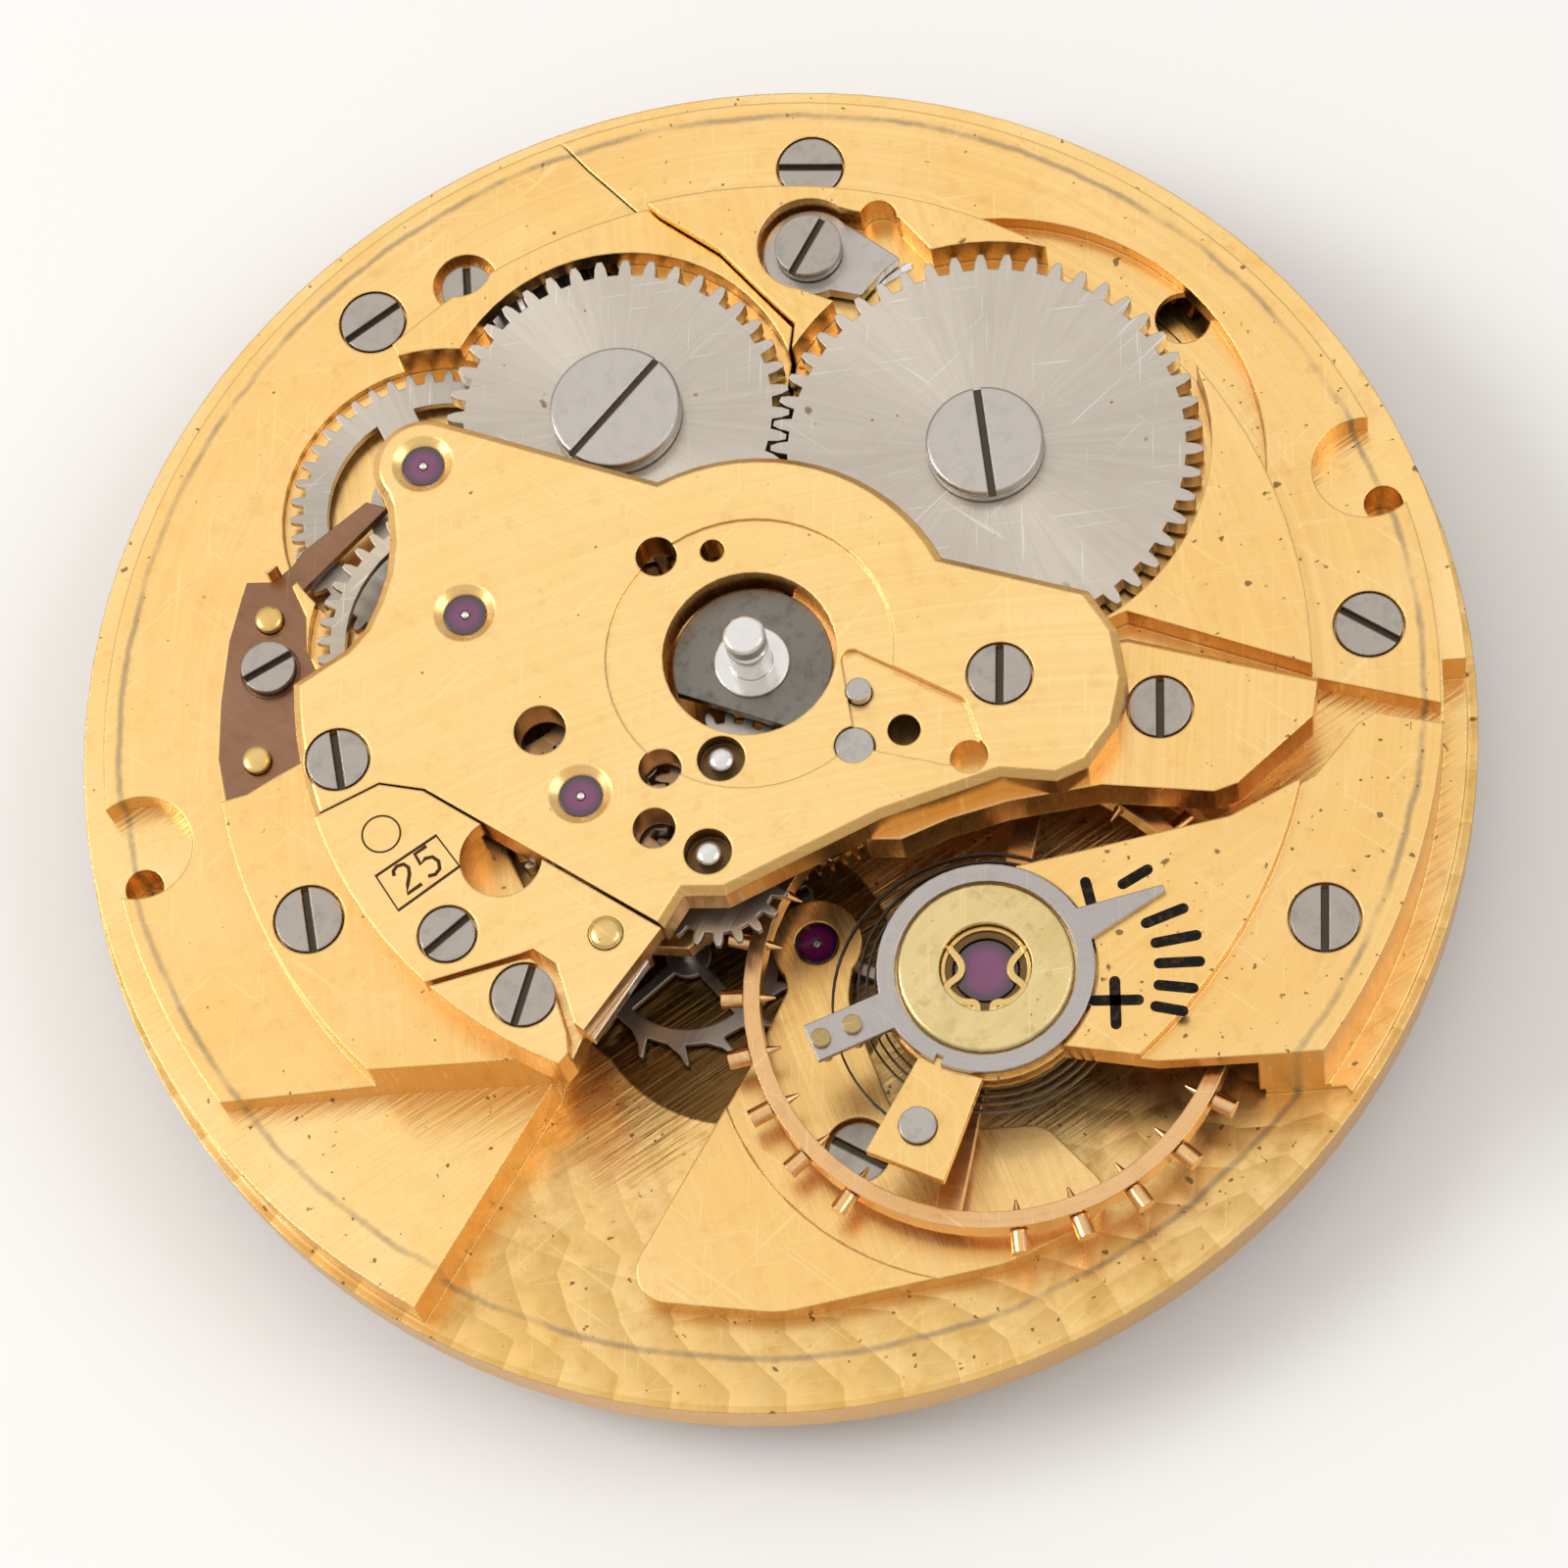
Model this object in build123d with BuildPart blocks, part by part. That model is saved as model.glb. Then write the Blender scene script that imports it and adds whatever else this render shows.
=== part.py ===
from build123d import *
from math import atan2, cos, degrees, hypot, radians, sin
import os

os.makedirs("parts", exist_ok=True)

# Mechanical automatic watch movement, train side up, dial side down.
# Origin: on the movement's axis, at the face that the dial rests on.
# +Y runs out along the winding stem, +Z is the train side. Millimetres.

# Driving dimensions of the plates
CASING_R = 12.8
FLANGE_R = 13.0
RIM_STEP_R = 12.3
TURNED_R = 10.0
FLANGE_TOP = 0.95
PLATE_TOP = 2.02
COCK_SEAT = 1.25
RIM_TOP = 2.55
BRIDGE_TOP = 3.5
CROWN_SIDE_TOP = 3.25
WHEEL_SEAT = 2.75
TRAIN_PLATE_TOP = 2.9
TOP_BRIDGE_FOOT = 3.9
TOP_BRIDGE_TOP = 4.7
COVER_FOOT = 4.2
COCK_ARM_FOOT = 2.8
COCK_RING_TOP = 3.25
PALLET_BRIDGE_TOP = 1.55
PALLET_TURNED_TOP = 1.48
ESCAPE_FLOOR = 0.6
ROLLER_FLOOR = 0.5
BARREL_FLOOR = 0.7
DIAL_RECESS = 0.45
OVERRUN = 1.0
FIT = 0.015
RUN = 0.04
PLAY = 0.12
BEVEL = 0.15
SEAM = 0.03

# Gear sizes: tooth counts and the two modules that set centre distances
RATCHET_TEETH = 50
CROWN_TEETH = 40
CROWN_DRIVER_TEETH = 8
SLOTTED_TEETH = 46
SPOKED_PINION_TEETH = 6
SPOKED_TEETH = 47
DRIVING_TEETH = 23
REVERSER_TEETH = 20
REVERSER_PAIR_TEETH = 16
BARREL_TEETH = 76
CENTRE_PINION_TEETH = 12
CENTRE_TEETH = 80
THIRD_PINION_TEETH = 10
THIRD_TEETH = 75
FOURTH_PINION_TEETH = 10
FOURTH_TEETH = 80
ESCAPE_PINION_TEETH = 8
ESCAPE_TEETH = 15
CANNON_TEETH = 12
MINUTE_TEETH = 36
MINUTE_PINION_TEETH = 10
HOUR_TEETH = 40
AUTOMATIC_MODULE = 0.12
TRAIN_MODULE = 0.085

# Tooth form, as shares of the module and of the angular pitch
ADDENDUM_SHARE = 0.9
DEDENDUM_SHARE = 1.15
ROOT_HALF_SHARE = 0.28
PITCH_HALF_SHARE = 0.215
TIP_HALF_SHARE = 0.1

# Places on the plates, as shares of the casing radius
BARREL_SHARES = (0.4469, 0.1695)
CROWN_SHARES = (0.0, 0.475)
ESCAPE_SHARES = (-0.2578, -0.2539)
PALLET_SHARES = (-0.0891, -0.3422)
BALANCE_SHARES = (0.0914, -0.543)
CLICK_SHARES = (0.363, 0.583)
MINUTE_SHARES = (0.1484, 0.125)

# Directions of the wheels that are placed by their mesh, in degrees
CROWN_DRIVER_ANGLE = 177.7
SPOKED_ANGLE = 260.06
DRIVING_ANGLE = 275.33
REVERSER_ANGLES = (-12.58, -53.04)
THIRD_ANGLE = 130.0
FOURTH_ANGLE = -115.0


def at(shares):
    return (shares[0] * CASING_R, shares[1] * CASING_R)


def spots(table):
    return [at(shares) for shares in table]


def polar(origin, distance, angle):
    return (origin[0] + distance * cos(radians(angle)), origin[1] + distance * sin(radians(angle)))


def distance(first, second):
    return hypot(second[0] - first[0], second[1] - first[1])


def heading(first, second):
    return degrees(atan2(second[1] - first[1], second[0] - first[0]))


def pair_radii(first, second, first_teeth, second_teeth):
    # Pitch radii of two gears that mesh at the given places
    unit = distance(first, second) / (first_teeth + second_teeth)
    return unit * first_teeth, unit * second_teeth


def mesh_phase(first, first_teeth, first_phase, second, second_teeth):
    # Turn of the second gear that puts a gap where the first has a tooth
    line = heading(first, second)
    first_step = 360 / first_teeth
    second_step = 360 / second_teeth
    lead = ((line - first_phase) / first_step) % 1
    return line + 180 - (1 / 2 - lead) * second_step


# Centres and pitch radii, each worked out from its neighbours
CENTRE = (0.0, 0.0)
BARREL = at(BARREL_SHARES)
CROWN = at(CROWN_SHARES)
ESCAPE = at(ESCAPE_SHARES)
PALLET = at(PALLET_SHARES)
BALANCE = at(BALANCE_SHARES)
CLICK = at(CLICK_SHARES)
MINUTE = at(MINUTE_SHARES)
RATCHET_PITCH, CROWN_PITCH = pair_radii(BARREL, CROWN, RATCHET_TEETH, CROWN_TEETH)
CROWN_DRIVER_PITCH = CROWN_PITCH * CROWN_DRIVER_TEETH / CROWN_TEETH
SLOTTED = polar(CROWN, CROWN_PITCH + CROWN_DRIVER_PITCH, CROWN_DRIVER_ANGLE)
SLOTTED_PITCH = AUTOMATIC_MODULE * SLOTTED_TEETH / 2
SPOKED_PINION_PITCH = AUTOMATIC_MODULE * SPOKED_PINION_TEETH / 2
SPOKED = polar(SLOTTED, SLOTTED_PITCH + SPOKED_PINION_PITCH, SPOKED_ANGLE)
SPOKED_PITCH = AUTOMATIC_MODULE * SPOKED_TEETH / 2
DRIVING_PITCH = AUTOMATIC_MODULE * DRIVING_TEETH / 2
DRIVING = polar(SPOKED, SPOKED_PITCH + DRIVING_PITCH, DRIVING_ANGLE)
REVERSER_PITCH = AUTOMATIC_MODULE * REVERSER_TEETH / 2
REVERSERS = [polar(DRIVING, DRIVING_PITCH + REVERSER_PITCH, angle) for angle in REVERSER_ANGLES]
REVERSER_PAIR_PITCH = distance(REVERSERS[0], REVERSERS[1]) / 2
BARREL_PITCH, CENTRE_PINION_PITCH = pair_radii(BARREL, CENTRE, BARREL_TEETH, CENTRE_PINION_TEETH)
THIRD_REACH = TRAIN_MODULE * (THIRD_TEETH + FOURTH_PINION_TEETH) / 2
THIRD_PITCH = TRAIN_MODULE * THIRD_TEETH / 2
FOURTH_PINION_PITCH = TRAIN_MODULE * FOURTH_PINION_TEETH / 2
THIRD = polar(CENTRE, THIRD_REACH, THIRD_ANGLE)
FOURTH = polar(THIRD, THIRD_REACH, FOURTH_ANGLE)
CENTRE_PITCH, THIRD_PINION_PITCH = pair_radii(CENTRE, THIRD, CENTRE_TEETH, THIRD_PINION_TEETH)
FOURTH_PITCH, ESCAPE_PINION_PITCH = pair_radii(FOURTH, ESCAPE, FOURTH_TEETH, ESCAPE_PINION_TEETH)
ESCAPE_TIP_R = distance(ESCAPE, PALLET) * cos(radians(30))
CANNON_PITCH, MINUTE_PITCH = pair_radii(CENTRE, MINUTE, CANNON_TEETH, MINUTE_TEETH)
HOUR_PITCH, MINUTE_PINION_PITCH = pair_radii(CENTRE, MINUTE, HOUR_TEETH, MINUTE_PINION_TEETH)

# Phases, so that each mesh stands tooth in gap at rest
RATCHET_PHASE = 0.0
CROWN_PHASE = mesh_phase(BARREL, RATCHET_TEETH, RATCHET_PHASE, CROWN, CROWN_TEETH)
DRIVER_PHASE = mesh_phase(CROWN, CROWN_TEETH, CROWN_PHASE, SLOTTED, CROWN_DRIVER_TEETH)
SLOTTED_PHASE = 0.0
SPOKED_PINION_PHASE = mesh_phase(SLOTTED, SLOTTED_TEETH, SLOTTED_PHASE, SPOKED, SPOKED_PINION_TEETH)
SPOKED_PHASE = 0.0
DRIVING_PHASE = mesh_phase(SPOKED, SPOKED_TEETH, SPOKED_PHASE, DRIVING, DRIVING_TEETH)
REVERSER_PHASES = [
    mesh_phase(DRIVING, DRIVING_TEETH, DRIVING_PHASE, place, REVERSER_TEETH) for place in REVERSERS
]
PAIR_PHASE = mesh_phase(REVERSERS[0], REVERSER_PAIR_TEETH, 0, REVERSERS[1], REVERSER_PAIR_TEETH)
BARREL_PHASE = 0.0
CENTRE_PINION_PHASE = mesh_phase(BARREL, BARREL_TEETH, BARREL_PHASE, CENTRE, CENTRE_PINION_TEETH)
CENTRE_PHASE = 0.0
THIRD_PINION_PHASE = mesh_phase(CENTRE, CENTRE_TEETH, CENTRE_PHASE, THIRD, THIRD_PINION_TEETH)
THIRD_PHASE = 0.0
FOURTH_PINION_PHASE = mesh_phase(THIRD, THIRD_TEETH, THIRD_PHASE, FOURTH, FOURTH_PINION_TEETH)
SECONDS_PHASE = mesh_phase(THIRD, THIRD_TEETH, THIRD_PHASE, CENTRE, FOURTH_PINION_TEETH)
FOURTH_PHASE = 0.0
ESCAPE_PINION_PHASE = mesh_phase(FOURTH, FOURTH_TEETH, FOURTH_PHASE, ESCAPE, ESCAPE_PINION_TEETH)
MINUTE_PHASE = mesh_phase(CENTRE, CANNON_TEETH, 0, MINUTE, MINUTE_TEETH)
MINUTE_PINION_PHASE = mesh_phase(CENTRE, HOUR_TEETH, 0, MINUTE, MINUTE_PINION_TEETH)

# Levels of the wheels
RATCHET_FOOT = 2.87
RATCHET_TOP = 3.3
DRIVER_PINION_FOOT = 2.83
SLOTTED_FOOT = 2.58
SLOTTED_TOP = 2.74
SPOKED_FOOT = 3.42
SPOKED_TOP = 3.58
DRIVING_FOOT = 3.2
DRIVING_TOP = 3.72
REVERSER_FEET = (3.56, 3.24)
REVERSER_THICKNESS = 0.14
PAIR_FOOT = 2.98
PAIR_TOP = 3.16
BARREL_FOOT = 0.82
BARREL_TEETH_FOOT = 0.97
BARREL_TEETH_TOP = 1.3
BARREL_TOP = 1.42
BARREL_DRUM_R = 4.92
BARREL_WALL = 0.3
BARREL_END = 0.12
CENTRE_PINION_FOOT = 0.95
CENTRE_WHEEL_FOOT = 1.46
CENTRE_WHEEL_TOP = 1.6
THIRD_PINION_FOOT = 1.4
THIRD_WHEEL_FOOT = 1.8
THIRD_WHEEL_TOP = 1.92
FOURTH_PINION_FOOT = 1.72
FOURTH_WHEEL_FOOT = 2.1
FOURTH_WHEEL_TOP = 2.22
ESCAPE_WHEEL_FOOT = 0.74
ESCAPE_WHEEL_TOP = 0.87
ESCAPE_PINION_FOOT = 2.02
ESCAPE_PINION_TOP = 2.32
FORK_FOOT = 0.7
FORK_TOP = 0.88
BALANCE_FOOT = 1.95
BALANCE_TOP = 2.5
HAIRSPRING_LEVEL = 2.7


def block(sketch, height, mode=Mode.ADD):
    extrude(sketch.sketch, amount=height, mode=mode)


def column(place, radius, bottom, top, mode=Mode.ADD):
    with BuildSketch(Plane.XY.offset(bottom)) as outline:
        with Locations(place):
            Circle(radius)
    block(outline, top - bottom, mode)


def slab(corners, bottom, top, mode=Mode.ADD):
    with BuildSketch(Plane.XY.offset(bottom)) as outline:
        with BuildLine():
            Polyline(*corners, close=True)
        make_face()
    block(outline, top - bottom, mode)


def rounded_slab(corners, radius, bottom, top, mode=Mode.ADD):
    with BuildSketch(Plane.XY.offset(bottom)) as outline:
        with BuildLine():
            FilletPolyline(*corners, radius=radius, close=True)
        make_face()
    block(outline, top - bottom, mode)


def bar(start, end, width, bottom, top, mode=Mode.ADD):
    middle = ((start[0] + end[0]) / 2, (start[1] + end[1]) / 2)
    with BuildSketch(Plane.XY.offset(bottom)) as outline:
        with Locations(Location((*middle, 0), (0, 0, heading(start, end)))):
            SlotCenterToCenter(distance(start, end), width)
    block(outline, top - bottom, mode)


def turned(profile, mode=Mode.ADD):
    # Turns a closed (radius, height) profile about the movement's axis
    with BuildSketch(Plane.XZ) as section:
        with BuildLine():
            Polyline(*profile, close=True)
        make_face()
    revolve(section.sketch, Axis.Z, mode=mode)


def tooth_points(place, teeth, pitch_radius, phase):
    module = 2 * pitch_radius / teeth
    step = 360 / teeth
    tip = pitch_radius + ADDENDUM_SHARE * module
    root = pitch_radius - DEDENDUM_SHARE * module
    points = []
    for tooth in range(teeth):
        middle = phase + tooth * step
        points.append(polar(place, root, middle - ROOT_HALF_SHARE * step))
        points.append(polar(place, pitch_radius, middle - PITCH_HALF_SHARE * step))
        points.append(polar(place, tip, middle - TIP_HALF_SHARE * step))
        points.append(polar(place, tip, middle + TIP_HALF_SHARE * step))
        points.append(polar(place, pitch_radius, middle + PITCH_HALF_SHARE * step))
        points.append(polar(place, root, middle + ROOT_HALF_SHARE * step))
    return points


def gear(place, teeth, pitch_radius, phase, bottom, top, mode=Mode.ADD):
    slab(tooth_points(place, teeth, pitch_radius, phase), bottom, top, mode)


def tip_radius(teeth, pitch_radius):
    return pitch_radius + ADDENDUM_SHARE * 2 * pitch_radius / teeth


def spoke_gaps(place, inner, outer, arms, arm_width, turn, bottom, top):
    # Cuts the windows between a wheel's arms
    with BuildSketch(Plane.XY.offset(bottom)) as gaps:
        with Locations(place):
            Circle(outer)
            Circle(inner, mode=Mode.SUBTRACT)
        for arm in range(arms):
            angle = turn + arm * 360 / arms
            middle = polar(place, outer / 2, angle)
            with Locations(Location((*middle, 0), (0, 0, angle))):
                Rectangle(outer + arm_width, arm_width, mode=Mode.SUBTRACT)
    block(gaps, top - bottom, Mode.SUBTRACT)


def arbor(place, steps):
    # A stepped shaft: each step is (radius, bottom, top)
    for radius, bottom, top in steps:
        column(place, radius, bottom, top)


def save(builder, label):
    builder.part.label = label
    export_step(builder.part, f"parts/{label}.step")


# Screws: place shares, head radius, head top, head height, shank radius, shank foot, slot turn
BRIDGE_HEAD_R = 0.61
BRIDGE_HEAD_HEIGHT = 0.3
BRIDGE_SHANK_R = 0.3
SCREW_FOOT = 0.82
AUTOMATIC_SCREW_FOOT = 2.1
SLOT_WIDTH = 0.14
SLOT_DEPTH = 0.14
BRIDGE_SCREW_SHARES = {
    "barrel_bridge_far": ((0.432, 0.7336), RIM_TOP, 151),
    "barrel_bridge_right": ((0.8094, -0.3109), RIM_TOP, 122),
    "train_bridge_far": ((-0.2539, 0.8195), RIM_TOP, 10),
    "train_bridge_left": ((-0.7163, -0.0303), BRIDGE_TOP, 74),
    "cock": ((0.539, -0.687), COCK_RING_TOP, 62),
}
AUTOMATIC_SCREW_SHARES = {
    "top_bridge_right": ((0.2938, -0.1961), TOP_BRIDGE_TOP, 63),
    "top_bridge_left": ((-0.5813, 0.1289), TOP_BRIDGE_TOP, 74),
    "tail": ((0.4758, -0.3219), TOP_BRIDGE_FOOT, 63),
    "foot": ((-0.493, -0.3102), TOP_BRIDGE_TOP, 48),
}
AUTOMATIC_HEAD_R = 0.56
AUTOMATIC_SHANK_R = 0.26
DOMED_HEAD_R = 0.5
GUARD_SCREW_TOP = 3.3
PALLET_SCREW_TOP = 1.3
DOMED_SCREW_SHARES = {
    "cover": ((-0.55, -0.1805), TOP_BRIDGE_TOP, 15),
    "guard": ((-0.6148, 0.3578), GUARD_SCREW_TOP, 4),
}
PALLET_SCREW_SHARES = ((-0.1711, -0.643), PALLET_SCREW_TOP, 125)
PALLET_HEAD_R = 0.56


# Outlines, as shares of the casing radius
TOP_BRIDGE_SHARES = [
    (-0.2364, 0.5385), (-0.3585, 0.4866), (-0.3619, 0.4501), (-0.3788, 0.4019),
    (-0.4042, 0.3587), (-0.4327, 0.326), (-0.466, 0.2962), (-0.5042, 0.2793), (-0.5399, 0.2748),
    (-0.5823, 0.2689), (-0.742, 0.242), (-0.742, 0.067), (-0.543, 0.069),
    (-0.49, 0.03), (-0.279, -0.31), (-0.234, -0.281), (-0.184, -0.307), (0.055, -0.307),
    (0.227, -0.33), (0.293, -0.372), (0.34, -0.3744), (0.4019, -0.342), (0.4471, -0.2837),
    (0.4687, -0.212), (0.4598, -0.1399), (0.289, 0.016), (0.117, 0.25), (0.005, 0.296),
]
COVER_SHARES = [
    (-0.742, 0.065), (-0.544, 0.066), (-0.493, 0.028), (-0.284, -0.312), (-0.441, -0.395),
    (-0.448, -0.379), (-0.434, -0.291), (-0.453, -0.256), (-0.473, -0.254),
    (-0.742, -0.205),
]
FOOT_SHARES = [
    (-0.742, -0.211), (-0.477, -0.262), (-0.462, -0.267), (-0.45, -0.301),
    (-0.463, -0.387), (-0.473, -0.414), (-0.594, -0.469),
]
BASE_SHARES = [
    (-0.742, 0.065), (-0.544, 0.066), (-0.493, 0.028), (-0.309, -0.309), (-0.437, -0.383),
    (-0.473, -0.414), (-0.594, -0.469),
]
BARREL_BRIDGE_SHARES = [
    (0.1373, 0.8938), (0.0963, 1.0478), (1.094, 1.047), (1.094, -0.68), (0.706, -0.349),
    (0.698, -0.355), (0.506, -0.159), (0.383, -0.152), (0.328, -0.078), (0.203, 0.0),
    (0.156, 0.109), (0.172, 0.266), (0.234, 0.383), (0.291, 0.477), (0.2683, 0.5518),
    (0.2443, 0.6378), (0.1923, 0.7338),
]
LEDGE_SHARES = [
    (0.125, 0.031), (0.09, -0.039), (0.148, -0.172), (0.234, -0.234), (0.352, -0.281),
    (0.437, -0.359), (0.516, -0.445), (0.648, -0.422), (0.703, -0.352), (0.508, -0.148),
    (0.234, 0.078),
]
TRAIN_BRIDGE_SHARES = [
    (0.135, 0.893), (0.094, 1.047), (-1.094, 1.047), (-1.094, -0.13), (-0.73, -0.273),
    (-0.501, -0.374), (-0.449, -0.352), (-0.406, -0.309), (-0.305, -0.277),
    (-0.258, -0.305), (-0.156, -0.281), (-0.07, -0.172), (0.023, -0.074), (0.074, 0.0),
    (0.059, 0.07), (0.133, 0.172), (0.16, 0.273), (0.227, 0.391), (0.286, 0.48),
    (0.266, 0.551), (0.242, 0.637), (0.19, 0.733),
]
CAVITY_SHARES = [
    (-0.484, -0.422), (-0.437, -0.344), (-0.426, -0.195), (-0.426, 0.078), (-0.352, 0.234),
    (0.203, 0.25), (0.203, -0.422),
]
CROWN_SIDE_SHARES = [
    (0.203, 0.234), (-0.203, 0.266), (-0.359, 0.641), (-0.406, 0.695), (-0.539, 1.047),
    (0.328, 1.047), (0.328, 0.234),
]
TAIL_SHARES = [
    (0.0, 0.055), (0.117, 0.078), (0.25, -0.125), (0.484, -0.207), (0.689, -0.386),
    (0.656, -0.434), (0.518, -0.473), (0.484, -0.469), (0.352, -0.387), (0.227, -0.348),
    (0.141, -0.332), (0.07, -0.328), (0.027, -0.305), (0.016, -0.055),
]
GUARD_SHARES = [
    (-0.59, 0.502), (-0.555, 0.484), (-0.52, 0.494), (-0.496, 0.508), (-0.383, 0.535),
    (-0.359, 0.512), (-0.533, 0.448), (-0.534, 0.395), (-0.555, 0.344), (-0.555, 0.195),
    (-0.672, 0.189), (-0.719, 0.184), (-0.753, 0.201), (-0.736, 0.268), (-0.698, 0.347),
    (-0.649, 0.43),
]
GUARD_SEAT_SHARES = [
    (-0.62, 0.55), (-0.555, 0.484), (-0.52, 0.494), (-0.496, 0.508), (-0.383, 0.535),
    (-0.359, 0.512), (-0.533, 0.448), (-0.534, 0.395), (-0.555, 0.344), (-0.555, 0.195),
    (-0.672, 0.189), (-0.719, 0.184), (-0.81, 0.201), (-0.79, 0.29), (-0.75, 0.38),
    (-0.7, 0.47),
]
COCK_SHARES = [
    (0.196, -0.427), (0.491, -0.5), (0.625, -0.496), (0.713, -0.456), (0.742, -0.452),
    (0.906, -0.58), (0.898, -0.938), (0.54, -0.893), (0.398, -0.834), (0.242, -0.764),
    (0.133, -0.688),
]
WEDGE_CUT_SHARES = [
    (-0.514, -0.371), (-0.938, -0.652), (-0.703, -0.938), (-0.312, -1.094),
    (0.156, -1.133), (0.516, -1.047), (0.469, -0.836), (0.273, -0.625), (0.0, -0.234),
    (-0.352, -0.172),
]
STUD_ARM_SHARES = [
    (-0.045, -0.611), (0.017, -0.68), (-0.095, -0.785), (-0.17, -0.698),
]

AUTOMATIC_R = 8.3
SCREW_SETS = (
    (BRIDGE_SCREW_SHARES, BRIDGE_HEAD_R, BRIDGE_SHANK_R, SCREW_FOOT),
    (AUTOMATIC_SCREW_SHARES, AUTOMATIC_HEAD_R, AUTOMATIC_SHANK_R, AUTOMATIC_SCREW_FOOT),
)
DOMED_SHANK_R = 0.22
JEWEL_R = 0.39
JEWEL_SINK_R = 0.62
JEWEL_HEIGHT = 0.25
JEWEL_HOLE_R = 0.09
PIVOT_R = 0.07
ARBOR_R = 0.12


def screw(place, head_radius, top, shank_radius, foot, turn):
    head_foot = top - BRIDGE_HEAD_HEIGHT
    column(place, head_radius, head_foot, top)
    column(place, shank_radius, foot, head_foot)
    with BuildSketch(Plane.XY.offset(top - SLOT_DEPTH)) as slot:
        with Locations(Location((*place, 0), (0, 0, turn))):
            Rectangle(2 * head_radius + OVERRUN, SLOT_WIDTH)
    block(slot, SLOT_DEPTH + OVERRUN, Mode.SUBTRACT)


def screw_hole(place, head_radius, top, shank_radius, foot):
    # The counterbore that a head sits in, and the hole for its shank
    head_foot = top - BRIDGE_HEAD_HEIGHT
    column(place, head_radius + FIT + SEAM, head_foot, top + OVERRUN, Mode.SUBTRACT)
    column(place, shank_radius + FIT, foot, head_foot, Mode.SUBTRACT)


def all_screw_holes():
    for table, head_radius, shank_radius, foot in SCREW_SETS:
        for shares, top, turn in table.values():
            screw_hole(at(shares), head_radius, top, shank_radius, foot)
    for shares, top, turn in DOMED_SCREW_SHARES.values():
        screw_hole(at(shares), DOMED_HEAD_R, top, DOMED_SHANK_R, PLATE_TOP)


def jewel(place, bottom):
    column(place, JEWEL_R, bottom, bottom + JEWEL_HEIGHT)
    column(place, JEWEL_HOLE_R, bottom, bottom + JEWEL_HEIGHT, Mode.SUBTRACT)


def jewel_seat(place, bottom):
    column(place, JEWEL_R + FIT, bottom, bottom + JEWEL_HEIGHT, Mode.SUBTRACT)


def rotor_profile(rim_radius, rim_top, inner_top, foot):
    # The turned upper face that all the bridges share
    return [
        (0, foot), (rim_radius, foot), (rim_radius, rim_top), (TURNED_R, rim_top),
        (TURNED_R, inner_top), (0, inner_top),
    ]


# Mainplate
BALANCE_CLEAR_R = 5.08
STEM_LEVEL = 1.5
STEM_BORE_R = 0.45
STEM_PILOT_R = 0.25
STEM_PILOT_END = 5.45
WINDING_CAVITY = (1.36, 8.45, 9.85)
CASE_SCREW_FLOOR = 1.0
PIVOT_DEPTH = 0.22
PALLET_SHANK_R = 0.25
PALLET_SCREW_FOOT = 0.3
LEVER_SCREW_TOP = 2.35
LEVER_SCREW_SHARES = ((-0.105, 0.81), LEVER_SCREW_TOP, 68)
LEVER_SHANK_R = 0.2
LEVER_CUTOUT_R = 0.62
LEVER_RECESS_SHARES = [(-0.17, 0.88), (-0.17, 0.6), (0.11, 0.6), (0.11, 0.78), (0.02, 0.88)]
CLICK_SHANK_R = 0.3
CLICK_SLOT_TURN = 36
RATCHET_SHANK_R = 0.4
RATCHET_SCREW_FOOT = 1.6
RATCHET_SLOT_TURN = 71
CROWN_SLOT_TURN = 24
CLICK_SCREW_FOOT = 2.15
CROWN_SHANK_R = 0.4
REVERSER_PIN_R = 0.16
SECONDS_ROOF = 2.12
TRAIN_ROOF = 2.38
FOURTH_ROOF = 2.3
ESCAPE_ROOF = 2.45
# Each bearing: its place and the face that it stands in
LOWER_PIVOTS = (
    (THIRD, THIRD_PINION_FOOT - PLAY), (FOURTH, THIRD_PINION_FOOT - PLAY),
    (ESCAPE, ESCAPE_FLOOR), (PALLET, ESCAPE_FLOOR), (BALANCE, ROLLER_FLOOR),
    (BARREL, BARREL_FLOOR),
)
UPPER_PIVOTS = (
    (THIRD, PLATE_TOP), (FOURTH, FOURTH_ROOF), (ESCAPE, ESCAPE_ROOF), (CENTRE, SECONDS_ROOF),
)
SHELF_PIVOTS = ((SLOTTED, TRAIN_ROOF), (SPOKED, TRAIN_ROOF), (DRIVING, TRAIN_PLATE_TOP))
CLUTCH_CAVITY = (0.95, 6.35, 8.45)
CAVITY_FLOOR = 0.14
BARREL_CLEAR_R = 5.55
CENTRE_CLEAR_R = 3.4
THIRD_CLEAR_R = 3.4
PINION_CLEAR_R = 0.72
ESCAPE_CLEAR_R = 2.4
RECESS_SHARES = (-0.203, -0.32)
RECESS_R = 2.83
ROLLER_CLEAR_R = 1.45
LEVER_CLEAR = 1.3
DIAL_HOUR_R = 2.3
DIAL_MINUTE_R = 2.2
MINUTE_POST_R = 0.28
DIAL_FOOT_SHARES = ((0.62, 0.62), (-0.76, -0.44))
DIAL_FOOT_R = 0.35
DIAL_FOOT_DEPTH = 0.8
CASE_SCREW_SHARES = ((-0.914, 0.174), (0.925, -0.14))
CASE_SCREW_R = 0.36
SCOOP_R = 1.0
SCOOP_SHARES = ((-0.8945, 0.2172), (0.922, -0.094))
NOTCH_SHARES = ((86, 93), (49, 66), (103, 112))
NOTCH_R = 12.8
RIGHT_RING_R = 12.36
CENTRE_HUB_R = 0.5
CENTRE_HOLE_R = CENTRE_HUB_R + RUN


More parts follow.
